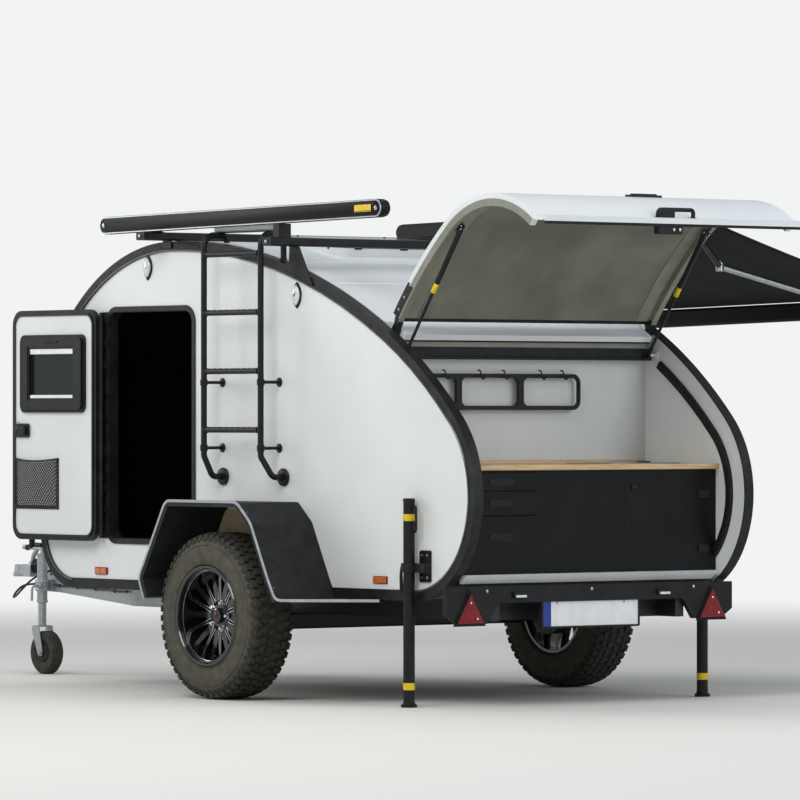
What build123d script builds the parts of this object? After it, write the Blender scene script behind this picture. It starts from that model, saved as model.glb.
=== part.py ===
from build123d import *
from math import asin, atan2, cos, degrees, hypot, pi, radians, sin, sqrt, tan
import os

# A teardrop camping trailer parked on its wheels, jockey wheel and rear drop legs, with the left door, the tailgate
# and the right awning open. Millimetres; X points to the rear, Y to the right and Z up, with the axle at X 0, the
# middle plane at Y 0 and the ground at Z 0.
SIDES = (("left", -1), ("right", 1))

# Body
APEX_X = -660
ROOF_Z = 1952
FLOOR_Z = 443
BODY_HALF = 750
WALL = 42
FLOOR_THICK = 30
SKIN = 26
SKIN_PROUD = 9
SKIN_END_LEAN = -164.5
NOSE_R = 250
TRIM_WIDE = 38
TRIM_THICK = 6
FIT = 0.3
INNER_HALF = BODY_HALF - WALL

# Rounded stretches of the side outline, to the rear and to the front of the highest point: radius, and the lean of
# the outward normal from straight up at the start and at the end.
REAR_ARCS = ((3050, 0, 30), (2050, 30, 46), (463, 46, 120))
FRONT_ARCS = ((1080, 0, -42), (450, -42, -80))

# Tailgate
HINGE_LEAN = 29.5
HINGE_IN = 36
HINGE_R = 8
GATE_EYE_R = 12
ROOF_REAR_LEAN = 30.7
GATE_START_LEAN = 31.25
GATE_HALF = 701
GATE_END_LEAN = 124
GATE_THICK = 22
LINING = 8
LINING_HALF = 662
GATE_OPEN = 86
ARM_ROOM = 6
ARM_SLOT = (796, 930, 1450, 1650)
# Corners of a hinge arm: along the roof line to the rear of the hinge, and out of it
ARM_CORNERS = ((0, 11), (70, 11), (100, 19), (100, -6), (60, -10), (0, -11))
LIP = 62

# Gas struts
STRUT_Y = 660
STRUT_BODY_EYE = (875, 1460)
STRUT_GATE_EYE = (1250, 1977)
STRUT_R = 10
STRUT_ROD_R = 4.5
STRUT_CASE = 330
STRUT_EYE_R = 12
STRUT_EYE_THICK = 12
STRUT_ROOM = 2

# Doors: the black frame's outside, and the leaf that closes it
FRAME_FRONT = -1150
FRAME_REAR = -483
FRAME_LOW = 637
FRAME_HIGH = 1680
FRAME_R = 75
FRAME_WIDE = 22
FRAME_PROUD = 6
LEAF_LAP = 10
LEAF_THICK = 28
LEAF_ROOM = 1
DOOR_OPEN = 180
DOOR_PIN_R = 6
DOOR_PIN_ROOM = 10
HINGE_PLATE = 6
KNUCKLE = 70
KNUCKLE_CATCH = 26
WINDOW_SIZE = (500, 346)
WINDOW_LIGHT = (346, 231)
WINDOW_UP = 565
WINDOW_OUT = 66
WINDOW_R = 32
POCKET = (343, 228)
POCKET_UP = 135
POCKET_DEEP = 34

# Running gear
WHEEL_R = 354
TYRE_IN = 830
TYRE_OUT = 1052
RIM_R = 203
RIM_FLANGE = 220
HUB_RECESS = 70
SPOKES = 10
DRUM_R = 118
AXLE_X = -150
AXLE_TUBE = 70
RAIL_Y = 500
RAIL_WIDE = 45
RAIL_DEEP = 90
ARM_BEND_X = -1248
ARM_FRONT_X = -2560
ARM_FRONT_Y = 62
ARM_FRONT_DEEP = 62
CROSS_XS = (-1180, -560, 470, 1130)

# Mudguards: corners of the outside from the front bottom over the top to the rear bottom
GUARD_CORNERS = ((-409, 420), (-449, 505), (-365, 645), (-253, 836), (252, 836), (349, 753), (467, 525), (520, 431))
GUARD_OUT = 1075
GUARD_THICK = 20

# Rear legs
LEG_R = 24
LEG_TOP = 855
LEG_Y = 790
LEG_X = {"left": 1063, "right": 1080}
LEG_CLAMP_Z = 575
LEG_CLAMP_HIGH = 38
LEG_CLAMP_WALL = 9
LEG_ROOM = 0.8
LEG_PLATE = (30, 100, 516, 647)
FOOT_R = 34
FOOT_THICK = 12

# Jockey wheel
JOCKEY_X = -2520
JOCKEY_Y = -150
JOCKEY_TUBE_R = 24
JOCKEY_TUBE_LOW = 330
JOCKEY_TUBE_HIGH = 545
JOCKEY_STEM_R = 19
JOCKEY_LIFT = 120
JOCKEY_WHEEL_R = 100
JOCKEY_WHEEL_WIDE = 60
JOCKEY_TRAIL = 38
FORK_PLATE = 5

# Galley
BULKHEAD_X = 800
BULKHEAD_THICK = 16
HEADER_DEEP = 40
HEADER_LOW = 1436
HEADER_HIGH = 1490
COUNTER_TOP = 998
COUNTER_THICK = 23
COUNTER_REAR = 1285
CABINET_REAR = 1262
CABINET_BOARD = 15
CABINET_LOW = 515
DRAWER_SIDE = -688
DRAWER_MIDDLE = -262
DRAWER_DEEP = 400
DRAWER_FRONT = 16
DRAWER_GAP = 5
# Drawer fronts: name, bottom and top
DRAWERS = (("top", 893, 962), ("middle", 792, 887), ("low", 548, 786))
GALLEY_RAIL_YS = (-660, -349, -14, 315)
GALLEY_RAIL_ZS = (1225, 1378)
GALLEY_BAR = 18
RAIL_OFF = 20
SILL_REAR = 1312
SILL_LOW = 499
SILL_HIGH = 547

# Rear valance
VALANCE_X = 1290
VALANCE_THICK = 22
VALANCE_HALF = 775
VALANCE_TOP = 498
VALANCE_END_LOW = 345
VALANCE_MIDDLE_LOW = 430
VALANCE_MIDDLE_HALF = 500
TRIANGLE_Y = 655
TRIANGLE_SIDE = 152
TRIANGLE_LOW = 345
TRIANGLE_THICK = 12
PLATE_LOW = 325
PLATE_HIGH = 434
PLATE_HALF = 262

# Roof window
HATCH_FRONT = -480
HATCH_REAR = 20
HATCH_HALF = 350
HATCH_FRAME_HIGH = 13
HATCH_TILT = 4
HATCH_FRAME_WIDE = 45
HATCH_LID_HIGH = 28
HATCH_R = 60

# Ladder
LADDER_Y = 850
LADDER_FRONT = -286
LADDER_REAR = 121
LADDER_TOP = 1976
LADDER_LOW = 968
LADDER_R = 13
RUNG_ZS = (1890, 1640, 1390, 1140)

# Roof bars and awning cases
BAR_HALF = 905
CASE_Y = 820
CASE_HIGH = 76
CASE_DEEP = 58
CASE_FRONT = -1064
CASE_REAR = 953
CASE_FRONT_Z = 1995
CASE_REAR_Z = 2022
BAR_FRONT_X = -680
BAR_REAR_X = 236
LEAD_Y = 2080
LEAD_FRONT_Z = 1600
LEAD_REAR_Z = 1642
LEAD_HIGH = 82
LEAD_DEEP = 46
CANOPY_FRONT = -1054
CANOPY_REAR = 944
CANOPY_THICK = 5
ARM_R = 15
BAR_REAR_LOW = 1917
BAR_HIGH = 36
BAR_PLATE = 6
BAR_PLATE_LAP = 24
LADDER_PAD = 12
LADDER_FOOT = 10
LADDER_PAD_R = 36

# Coupling and lead
HOUSING_REAR = -2430
HOUSING_FRONT = -2665
HOUSING_HALF = 48
HEAD_REAR = -2800
BALL_X = -2900
BALL_Z = 448
BALL_R = 25
GAITER_FOLDS = 6
LEAD_R = 5
# Route of the lead from the housing's side down and back to the parked plug
LEAD_POINTS = (
    (-2560, -48.6, 478), (-2560, -78, 476), (-2590, -110, 462), (-2650, -128, 430), (-2720, -130, 385),
    (-2790, -118, 350), (-2850, -90, 345), (-2880, -50, 372), (-2870, -20, 400), (-2830, 0, 408), (-2790, 0, 408),
)

# Soft parts, ribs and small fits
MATTRESS_ROOM = 6
MATTRESS_THICK = 120
RIB_DEEP = 30
RIB_WIDE = 26
PIN_R = 5
BRACKET_THICK = 5
LID_IN = 6
LID_PIN = (-9, 6)
LID_PIN_R = 5
LID_KNUCKLE_YS = (-200, 200)
LID_KNUCKLE = 50
LID_EYE = 20
LID_WALL = 5
LID_ROOM = 0.5


def spot(centre, radius, lean):
    """Point of an arc where its outward normal leans by lean from straight up, positive to the rear."""
    return (centre[0] + radius * sin(radians(lean)), centre[1] + radius * cos(radians(lean)))


def chain(rows):
    """Tangent arcs that start at the highest point, as centre, radius, start lean and end lean."""
    centre = (APEX_X, ROOF_Z - rows[0][0])
    before = rows[0][0]
    arcs = []
    for radius, start, end in rows:
        centre = spot(centre, before - radius, start)
        arcs.append((centre, radius, start, end))
        before = radius
    return arcs


rear_arcs = chain(REAR_ARCS)
front_arcs = chain(FRONT_ARCS)
last_centre, last_radius, _, last_lean = rear_arcs[-1]
# The lower rear arc meets the floor level, so its radius follows from the arc before it.
low_rear_radius = (last_centre[1] + last_radius * cos(radians(last_lean)) - FLOOR_Z) / (1 + cos(radians(last_lean)))
low_rear = (spot(last_centre, last_radius - low_rear_radius, last_lean), low_rear_radius, last_lean, 180)
# The nose arc touches the floor level, and the straight front line runs down to it.
front_centre, front_radius, _, front_lean = front_arcs[-1]
front_end = spot(front_centre, front_radius, front_lean)
nose_z = FLOOR_Z + NOSE_R
nose_start_z = nose_z + NOSE_R * cos(radians(front_lean))
front_run = (front_end[1] - nose_start_z) / sin(radians(-front_lean))
nose_start_x = front_end[0] - front_run * cos(radians(front_lean))
nose_x = nose_start_x + NOSE_R * sin(radians(-front_lean))
nose = ((nose_x, nose_z), NOSE_R, front_lean, -180)
# All arcs in order from the rear bottom over the roof to the nose's bottom, as centre, radius, first and last lean
HULL = [(centre, radius, end, start) for centre, radius, start, end in [low_rear] + rear_arcs[::-1]]
HULL += front_arcs + [nose]


def trace_hull(inset, first=180, last=-180):
    """Arcs of the side outline drawn in by inset, between two leans, as start, middle and end points."""
    arcs = []
    for centre, radius, high, low in HULL:
        start = min(high, first)
        end = max(low, last)
        if start - end > 0.01:
            arcs.append([spot(centre, radius - inset, lean) for lean in (start, (start + end) / 2, end)])
    return arcs


def moved(arcs, about):
    """The same arcs measured from a point."""
    return [[(x - about[0], z - about[1]) for x, z in arc] for arc in arcs]


def draw(arcs):
    """Draw arcs in a row and the straight runs between them."""
    for arc in arcs:
        ThreePointArc(*arc)
    for arc, following in zip(arcs, arcs[1:]):
        if hypot(arc[2][0] - following[0][0], arc[2][1] - following[0][1]) > 0.01:
            Line(arc[2], following[0])


def draw_closed(inset):
    """Draw the whole side outline, drawn in by inset."""
    arcs = trace_hull(inset)
    draw(arcs)
    Line(arcs[-1][2], arcs[0][0])


def draw_band(outer, inner, first, last, about=(0, 0)):
    """Draw the strip between two insets of the side outline, from one lean to another."""
    outside = moved(trace_hull(outer, first, last), about)
    inside = moved(trace_hull(inner, first, last), about)
    draw(outside)
    draw(inside)
    Line(outside[0][0], inside[0][0])
    Line(outside[-1][2], inside[-1][2])


def hull_at(x, inset):
    """Height of the roof line at a place along the body, drawn in by inset."""
    for centre, radius, high, low in HULL:
        if abs(x - centre[0]) < radius - inset:
            lean = degrees(asin((x - centre[0]) / (radius - inset)))
            if low - 0.01 <= lean <= high + 0.01:
                return centre[1] + sqrt((radius - inset) ** 2 - (x - centre[0]) ** 2)
    return FLOOR_Z


def upright(y):
    """Plane across the width at y, drawn on in X and Z, whose normal points to the left."""
    return Plane(origin=(0, y, 0), x_dir=(1, 0, 0), z_dir=(0, -1, 0))


def across(x):
    """Plane across the length at x, drawn on in Y and Z, whose normal points to the rear."""
    return Plane(origin=(x, 0, 0), x_dir=(0, 1, 0), z_dir=(1, 0, 0))


def from_to(low, high, other_low, other_high, radius=0, mode=Mode.ADD):
    """Rectangle between limits, with rounded corners where a radius is given."""
    with Locations(((low + high) / 2, (other_low + other_high) / 2)):
        if radius:
            RectangleRounded(high - low, other_high - other_low, radius, mode=mode)
        else:
            Rectangle(high - low, other_high - other_low, mode=mode)


def rod(start, end, radius, mode=Mode.ADD):
    """Round bar from one point to another."""
    axis = Vector(*end) - Vector(*start)
    with Locations(Plane(origin=start, z_dir=axis)):
        Cylinder(radius, axis.length, align=(Align.CENTER, Align.CENTER, Align.MIN), mode=mode)


pieces = []


def keep(part, name):
    """Label a finished piece and put it on the list."""
    part.label = name
    pieces.append(part)


RAIL_REAR = VALANCE_X - VALANCE_THICK - FIT

# Chassis: two arms that meet at the drawbar's head, side rails under the floor and cross members
with BuildPart() as chassis:
    with BuildSketch(Plane.XY.offset(FLOOR_Z - RAIL_DEEP)):
        for _, sign in SIDES:
            with BuildLine():
                Polyline((RAIL_REAR, sign * RAIL_Y), (ARM_BEND_X, sign * RAIL_Y), (ARM_FRONT_X, sign * ARM_FRONT_Y))
            trace(line_width=RAIL_WIDE)
        for x in CROSS_XS:
            with Locations((x, 0)):
                Rectangle(RAIL_WIDE, 2 * RAIL_Y)
        from_to(ARM_FRONT_X - 30, ARM_FRONT_X + 170, -ARM_FRONT_Y, ARM_FRONT_Y)
    extrude(amount=RAIL_DEEP)
    with BuildSketch(upright(RAIL_Y)):
        Polygon(
            (ARM_BEND_X, FLOOR_Z - RAIL_DEEP),
            (ARM_FRONT_X - 200, FLOOR_Z - RAIL_DEEP),
            (ARM_FRONT_X - 200, FLOOR_Z - ARM_FRONT_DEEP),
            (ARM_FRONT_X + 200, FLOOR_Z - ARM_FRONT_DEEP),
            align=None,
        )
    extrude(amount=2 * RAIL_Y, mode=Mode.SUBTRACT)
keep(chassis.part, "chassis")

# Torsion axle: square tube under the rails, trailing arms, stubs and brake drums
axle_z = FLOOR_Z - RAIL_DEEP - AXLE_TUBE / 2
ARM_WIDE = 40
DRUM_IN = TYRE_IN - 12
DRUM_OUT = TYRE_IN + 58
DISC_Y = TYRE_OUT - 10 - HUB_RECESS
HUB_IN = DISC_Y - 45
with BuildPart() as axle_beam:
    with BuildSketch(upright(DRUM_IN - ARM_WIDE)):
        with Locations((AXLE_X, axle_z)):
            RectangleRounded(AXLE_TUBE, AXLE_TUBE, 10)
    extrude(amount=2 * (DRUM_IN - ARM_WIDE))
    for _, sign in SIDES:
        with BuildSketch(upright(DRUM_IN if sign > 0 else ARM_WIDE - DRUM_IN)):
            with BuildLine():
                Polyline((AXLE_X, axle_z), (0, WHEEL_R))
            trace(line_width=AXLE_TUBE - 10)
        extrude(amount=ARM_WIDE)
        rod((0, sign * (DRUM_IN - 1), WHEEL_R), (0, sign * DRUM_OUT, WHEEL_R), DRUM_R)
        rod((0, sign * (DRUM_OUT - 1), WHEEL_R), (0, sign * (HUB_IN - FIT), WHEEL_R), 30)
keep(axle_beam.part, "axle_beam")

# Wheels
RIM_LIP = 12
for side, sign in SIDES:
    outer = sign * TYRE_OUT
    inner = sign * TYRE_IN
    with BuildPart() as tyre:
        with BuildSketch(Plane.YZ):
            with BuildLine():
                Polyline(
                    (sign * (TYRE_IN + 14), WHEEL_R + RIM_R),
                    (inner, WHEEL_R + 270),
                    (sign * (TYRE_IN + 8), WHEEL_R + 320),
                    (sign * (TYRE_IN + 26), WHEEL_R + WHEEL_R - 8),
                    (sign * (TYRE_IN + 60), WHEEL_R + WHEEL_R),
                    (sign * (TYRE_OUT - 60), WHEEL_R + WHEEL_R),
                    (sign * (TYRE_OUT - 26), WHEEL_R + WHEEL_R - 8),
                    (sign * (TYRE_OUT - 8), WHEEL_R + 320),
                    (outer, WHEEL_R + 270),
                    (sign * (TYRE_OUT - 14), WHEEL_R + RIM_R),
                    close=True,
                )
            make_face()
        revolve(axis=Axis((0, 0, WHEEL_R), (0, 1, 0)))
    keep(tyre.part, f"tyre_{side}")

    face = TYRE_OUT - 10
    disc_y = DISC_Y
    with BuildPart() as rim:
        with BuildSketch(Plane.YZ):
            with BuildLine():
                Polyline(
                    (sign * (TYRE_IN + 15), WHEEL_R + RIM_R - FIT),
                    (sign * (TYRE_OUT - 15), WHEEL_R + RIM_R - FIT),
                    (sign * (TYRE_OUT - 15), WHEEL_R + RIM_FLANGE - 18),
                    (sign * face, WHEEL_R + RIM_FLANGE - 18),
                    (sign * face, WHEEL_R + RIM_R - RIM_LIP),
                    (sign * (TYRE_IN + 15), WHEEL_R + RIM_R - RIM_LIP),
                    close=True,
                )
            make_face()
            with BuildLine():
                Polyline(
                    (sign * HUB_IN, WHEEL_R),
                    (sign * (disc_y + 8), WHEEL_R),
                    (sign * (disc_y + 8), WHEEL_R + 48),
                    (sign * (disc_y - 2), WHEEL_R + 70),
                    (sign * HUB_IN, WHEEL_R + 78),
                    close=True,
                )
            make_face()
        revolve(axis=Axis((0, 0, WHEEL_R), (0, 1, 0)))
        with BuildSketch(upright(sign * (disc_y - 20)) if sign < 0 else upright(sign * disc_y)):
            with Locations((0, WHEEL_R)):
                with PolarLocations(0, SPOKES):
                    Polygon((60, -17), (60, 17), (RIM_R - 6, 10), (RIM_R - 6, -10), align=None)
        extrude(amount=20)
    keep(rim.part, f"rim_{side}")

# Mudguards: folded sheet with the wheel open to view
for side, sign in SIDES:
    with BuildPart() as mudguard:
        with BuildSketch(upright(GUARD_OUT if sign > 0 else -BODY_HALF)):
            with BuildLine():
                FilletPolyline(*GUARD_CORNERS, radius=24)
                offset(amount=GUARD_THICK, side=Side.RIGHT)
            make_face()
        extrude(amount=GUARD_OUT - BODY_HALF)
        with BuildSketch(upright(BODY_HALF + TRIM_THICK + FIT if sign > 0 else -BODY_HALF)):
            from_to(GUARD_CORNERS[1][0] - 20, GUARD_CORNERS[-1][0] + 20, 400, FLOOR_Z + TRIM_WIDE + FIT)
        extrude(amount=TRIM_THICK + FIT, mode=Mode.SUBTRACT)
    keep(mudguard.part, f"mudguard_{side}")

# Floor, turned up along the lower rear arc to the sill
with BuildPart() as floor_panel:
    with BuildSketch(upright(INNER_HALF)):
        from_to(nose_x, low_rear[0][0], FLOOR_Z, FLOOR_Z + FLOOR_THICK)
        for first, last in ((180, 150), (SKIN_END_LEAN - 0.1, -180)):
            with BuildLine():
                draw_band(0, FLOOR_THICK, first, last)
            make_face()
    extrude(amount=2 * INNER_HALF)
keep(floor_panel.part, "floor_panel")

# Side walls with their door openings, and the black channel round the edge
hole = (FRAME_FRONT + FRAME_WIDE, FRAME_REAR - FRAME_WIDE, FRAME_LOW + FRAME_WIDE, FRAME_HIGH - FRAME_WIDE)
for side, sign in SIDES:
    with BuildPart() as side_wall:
        with BuildSketch(upright(BODY_HALF if sign > 0 else -INNER_HALF)):
            with BuildLine():
                draw_closed(0)
            make_face()
            from_to(*hole, radius=FRAME_R - FRAME_WIDE, mode=Mode.SUBTRACT)
        extrude(amount=WALL)
        # Stud that holds the gas strut's rod, its base let into the wall
        eye_x, eye_z = STRUT_BODY_EYE
        wall_y = sign * (INNER_HALF + 1)
        rod((eye_x, wall_y, eye_z), (eye_x, wall_y - sign * 9, eye_z), STRUT_EYE_R + 4)
        stud_end = sign * (STRUT_Y + STRUT_EYE_THICK / 2 + STRUT_ROOM)
        rod((eye_x, wall_y, eye_z), (eye_x, stud_end, eye_z), PIN_R)
    keep(side_wall.part, f"side_wall_{side}")

    with BuildPart() as edge_trim:
        with BuildSketch(upright(BODY_HALF + TRIM_THICK if sign > 0 else -BODY_HALF)):
            with BuildLine():
                draw_closed(-TRIM_THICK)
            make_face()
            with BuildLine():
                draw_closed(TRIM_WIDE)
            make_face(mode=Mode.SUBTRACT)
        extrude(amount=TRIM_THICK)
        with BuildSketch(upright(BODY_HALF if sign > 0 else -INNER_HALF - FIT)):
            with BuildLine():
                draw_closed(-TRIM_THICK)
            make_face()
            with BuildLine():
                draw_closed(0)
            make_face(mode=Mode.SUBTRACT)
        extrude(amount=WALL - FIT)
    keep(edge_trim.part, f"edge_trim_{side}")

# Roof and nose skin with the roof window's opening
with BuildPart() as roof_skin:
    with BuildSketch(upright(INNER_HALF)):
        with BuildLine():
            draw_band(-SKIN_PROUD, SKIN - SKIN_PROUD, ROOF_REAR_LEAN, SKIN_END_LEAN)
        make_face()
    extrude(amount=2 * INNER_HALF)
    with BuildSketch(Plane.XY.offset(FLOOR_Z + 1200)):
        hole_inset = HATCH_FRAME_WIDE
        from_to(HATCH_FRONT + hole_inset, HATCH_REAR - hole_inset, hole_inset - HATCH_HALF, HATCH_HALF - hole_inset)
    extrude(amount=400, mode=Mode.SUBTRACT)
    # Slots at the rear corners for the tailgate's hinge arms
    slot_in = GATE_HALF - RIB_WIDE - ARM_ROOM
    for _, sign in SIDES:
        with BuildSketch(upright(INNER_HALF + 1 if sign > 0 else -slot_in)):
            from_to(*ARM_SLOT)
        extrude(amount=INNER_HALF + 1 - slot_in, mode=Mode.SUBTRACT)
keep(roof_skin.part, "roof_skin")

# Doors. Each leaf is measured from its pin: along the leaf, out of the body and up.
leaf_front = hole[0] - LEAF_LAP
leaf_rear = hole[1] + LEAF_LAP
leaf_low = hole[2] - LEAF_LAP
leaf_high = hole[3] + LEAF_LAP
leaf_in = BODY_HALF + FRAME_PROUD + LEAF_ROOM
pin_x = leaf_front - DOOR_PIN_ROOM
pin_out = leaf_in + LEAF_THICK - 4
leaf_wide = leaf_rear - leaf_front
knuckle_lows = (leaf_low + 150, leaf_high - 230)

# Door frames on the outside of the walls
for side, sign in SIDES:
    with BuildPart() as door_frame:
        with BuildSketch(upright(BODY_HALF + FRAME_PROUD if sign > 0 else -BODY_HALF)):
            from_to(FRAME_FRONT, FRAME_REAR, FRAME_LOW, FRAME_HIGH, radius=FRAME_R)
            from_to(*hole, radius=FRAME_R - FRAME_WIDE, mode=Mode.SUBTRACT)
        extrude(amount=FRAME_PROUD)
        with BuildSketch(upright(BODY_HALF + 1 if sign > 0 else -INNER_HALF)):
            from_to(*hole, radius=FRAME_R - FRAME_WIDE)
            from_to(hole[0] + 3, hole[1] - 3, hole[2] + 3, hole[3] - 3, radius=FRAME_R - FRAME_WIDE - 3, mode=Mode.SUBTRACT)
        extrude(amount=WALL + 1)
        # Hinge eyes above and below each knuckle of the leaf
        for low in knuckle_lows:
            for start, end in ((low - KNUCKLE_CATCH, low - FIT), (low + KNUCKLE + FIT, low + KNUCKLE + KNUCKLE_CATCH)):
                rod((pin_x, sign * pin_out, start), (pin_x, sign * pin_out, end), DOOR_PIN_R + 1)
                with BuildSketch(Plane.XY.offset(start)):
                    y_ends = sorted((sign * (BODY_HALF + 1), sign * pin_out))
                    from_to(pin_x - HINGE_PLATE / 2, pin_x + HINGE_PLATE / 2, *y_ends)
                extrude(amount=end - start)
    keep(door_frame.part, f"door_frame_{side}")

# Galley bulkhead with its header under the tailgate's hinge
with BuildPart() as bulkhead:
    with BuildSketch(upright(INNER_HALF)):
        with BuildLine():
            draw_closed(SKIN - SKIN_PROUD)
        make_face()
        from_to(BULKHEAD_X - BULKHEAD_THICK, BULKHEAD_X, FLOOR_Z + FLOOR_THICK, ROOF_Z, mode=Mode.INTERSECT)
    extrude(amount=2 * INNER_HALF)
    with BuildSketch(upright(INNER_HALF)):
        from_to(BULKHEAD_X - 1, BULKHEAD_X + HEADER_DEEP, HEADER_LOW, HEADER_HIGH)
    extrude(amount=2 * INNER_HALF)
keep(bulkhead.part, "bulkhead")

# Rail frame on the bulkhead
with BuildPart() as galley_rails:
    with BuildSketch(across(BULKHEAD_X + RAIL_OFF)):
        from_to(GALLEY_RAIL_YS[0], GALLEY_RAIL_YS[-1], *GALLEY_RAIL_ZS, radius=40)
        inner = [GALLEY_RAIL_ZS[0] + GALLEY_BAR, GALLEY_RAIL_ZS[1] - GALLEY_BAR]
        for low, high in zip(GALLEY_RAIL_YS, GALLEY_RAIL_YS[1:]):
            from_to(low + GALLEY_BAR, high - GALLEY_BAR / 2, *inner, radius=24, mode=Mode.SUBTRACT)
    extrude(amount=GALLEY_BAR)
    for y in GALLEY_RAIL_YS:
        for z in GALLEY_RAIL_ZS:
            side = GALLEY_BAR / 2 if y < 0 else -GALLEY_BAR / 2
            for_z = z + GALLEY_BAR / 2 if z == GALLEY_RAIL_ZS[0] else z - GALLEY_BAR / 2
            foot_y = y + side + (40 if y == GALLEY_RAIL_YS[0] else -40)
            rod((BULKHEAD_X + FIT, foot_y, for_z), (BULKHEAD_X + RAIL_OFF + 1, foot_y, for_z), GALLEY_BAR / 2 - 1)
keep(galley_rails.part, "galley_rails")

# Galley cabinet: black boards round the drawers and the fixed front
with BuildPart() as cabinet:
    front = BULKHEAD_X
    with BuildSketch(upright(INNER_HALF)):
        from_to(front, CABINET_REAR, CABINET_LOW, COUNTER_TOP - COUNTER_THICK)
        with BuildLine():
            draw_closed(FLOOR_THICK)
        make_face(mode=Mode.INTERSECT)
    extrude(amount=2 * INNER_HALF)
    with BuildSketch(upright(INNER_HALF - CABINET_BOARD)):
        from_to(
            front + CABINET_BOARD, CABINET_REAR - CABINET_BOARD,
            CABINET_LOW + CABINET_BOARD, COUNTER_TOP - COUNTER_THICK - CABINET_BOARD,
        )
        with BuildLine():
            draw_closed(FLOOR_THICK + CABINET_BOARD)
        make_face(mode=Mode.INTERSECT)
    extrude(amount=2 * (INNER_HALF - CABINET_BOARD), mode=Mode.SUBTRACT)
    with BuildSketch(across(CABINET_REAR - 2 * CABINET_BOARD)):
        for _, low, high in DRAWERS:
            from_to(DRAWER_SIDE + 12, DRAWER_MIDDLE - 12, low + 8, high - 8)
    extrude(amount=3 * CABINET_BOARD, mode=Mode.SUBTRACT)
keep(cabinet.part, "galley_cabinet")

with BuildPart() as countertop:
    with BuildSketch(Plane.XY.offset(COUNTER_TOP - COUNTER_THICK)):
        from_to(BULKHEAD_X, COUNTER_REAR, -INNER_HALF, INNER_HALF)
    extrude(amount=COUNTER_THICK)
    fillet(countertop.edges().filter_by(Axis.Y).group_by(Axis.X)[-1], 5)
keep(countertop.part, "countertop")

# Drawers: an open box behind each front
for name, low, high in DRAWERS:
    box_front = CABINET_REAR + FIT + DRAWER_FRONT - DRAWER_DEEP
    with BuildPart() as drawer:
        with BuildSketch(across(CABINET_REAR + FIT)):
            from_to(DRAWER_SIDE, DRAWER_MIDDLE, low, high)
        extrude(amount=DRAWER_FRONT)
        fillet(drawer.edges().filter_by(Axis.X), 4)
        with BuildSketch(across(box_front)):
            from_to(DRAWER_SIDE + 20, DRAWER_MIDDLE - 20, low + 14, high - 16)
        extrude(amount=CABINET_REAR + FIT - box_front)
        with BuildSketch(Plane.XY.offset(low + 14 + 10)):
            from_to(box_front + 10, CABINET_REAR + FIT, DRAWER_SIDE + 30, DRAWER_MIDDLE - 30)
        extrude(amount=high - low, mode=Mode.SUBTRACT)
    keep(drawer.part, f"drawer_{name}")

# Sill over the lower end of the galley opening
with BuildPart() as sill:
    with BuildSketch(upright(INNER_HALF - 25)):
        with BuildLine():
            draw_closed(0)
        make_face()
        from_to(CABINET_REAR + FIT, SILL_REAR, SILL_LOW, SILL_HIGH, mode=Mode.INTERSECT)
        with BuildLine():
            draw_band(0, FLOOR_THICK, 180, 150)
        make_face(mode=Mode.SUBTRACT)
    extrude(amount=2 * (INNER_HALF - 25))
keep(sill.part, "sill")

# Rear valance with drop ends, triangle bosses and number plate holder
with BuildPart() as rear_valance:
    with BuildSketch(across(VALANCE_X - VALANCE_THICK)):
        with BuildLine():
            Polyline(
                (-VALANCE_HALF, VALANCE_TOP), (-VALANCE_HALF, VALANCE_END_LOW + 40),
                (-VALANCE_HALF + 60, VALANCE_END_LOW), (-VALANCE_MIDDLE_HALF - 60, VALANCE_END_LOW),
                (-VALANCE_MIDDLE_HALF, VALANCE_MIDDLE_LOW), (VALANCE_MIDDLE_HALF, VALANCE_MIDDLE_LOW),
                (VALANCE_MIDDLE_HALF + 60, VALANCE_END_LOW), (VALANCE_HALF - 60, VALANCE_END_LOW),
                (VALANCE_HALF, VALANCE_END_LOW + 40), (VALANCE_HALF, VALANCE_TOP), close=True,
            )
        make_face()
    extrude(amount=VALANCE_THICK)
    with BuildSketch(across(VALANCE_X)):
        for _, sign in SIDES:
            half = TRIANGLE_SIDE / 2
            with Locations((sign * TRIANGLE_Y, 0)):
                Polygon(
                    (-half, TRIANGLE_LOW), (half, TRIANGLE_LOW), (0, TRIANGLE_LOW + TRIANGLE_SIDE * sin(radians(60))),
                    align=None,
                )
    extrude(amount=TRIANGLE_THICK)
    with BuildSketch(across(VALANCE_X - VALANCE_THICK)):
        from_to(-PLATE_HALF - 6, PLATE_HALF + 6, PLATE_LOW - 6, VALANCE_MIDDLE_LOW + 10, radius=8)
    extrude(amount=VALANCE_THICK / 2)
keep(rear_valance.part, "rear_valance")

# Mattress on the cabin floor, clear of the walls
with BuildPart() as mattress:
    with BuildSketch(upright(INNER_HALF - MATTRESS_ROOM)):
        with BuildLine():
            draw_closed(FLOOR_THICK + FIT)
        make_face()
        mattress_low = FLOOR_Z + FLOOR_THICK + FIT
        mattress_rear = BULKHEAD_X - BULKHEAD_THICK - MATTRESS_ROOM
        from_to(-2000, mattress_rear, mattress_low, mattress_low + MATTRESS_THICK, mode=Mode.INTERSECT)
    extrude(amount=2 * (INNER_HALF - MATTRESS_ROOM))
keep(mattress.part, "mattress")

# Roof window's frame and lid, both leaning to the rear. The lid swings up about its front edge.
hatch_long = HATCH_REAR - HATCH_FRONT
hatch_x = (HATCH_FRONT + HATCH_REAR) / 2
frame_top = hull_at(hatch_x, -SKIN_PROUD) + HATCH_FRAME_HIGH


def on_hatch(along, up):
    """Place on the roof window, from the middle of its frame's top: along it to the rear, and out of it."""
    lean = radians(HATCH_TILT)
    return (hatch_x + along * cos(lean) + up * sin(lean), frame_top - along * sin(lean) + up * cos(lean))


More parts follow.
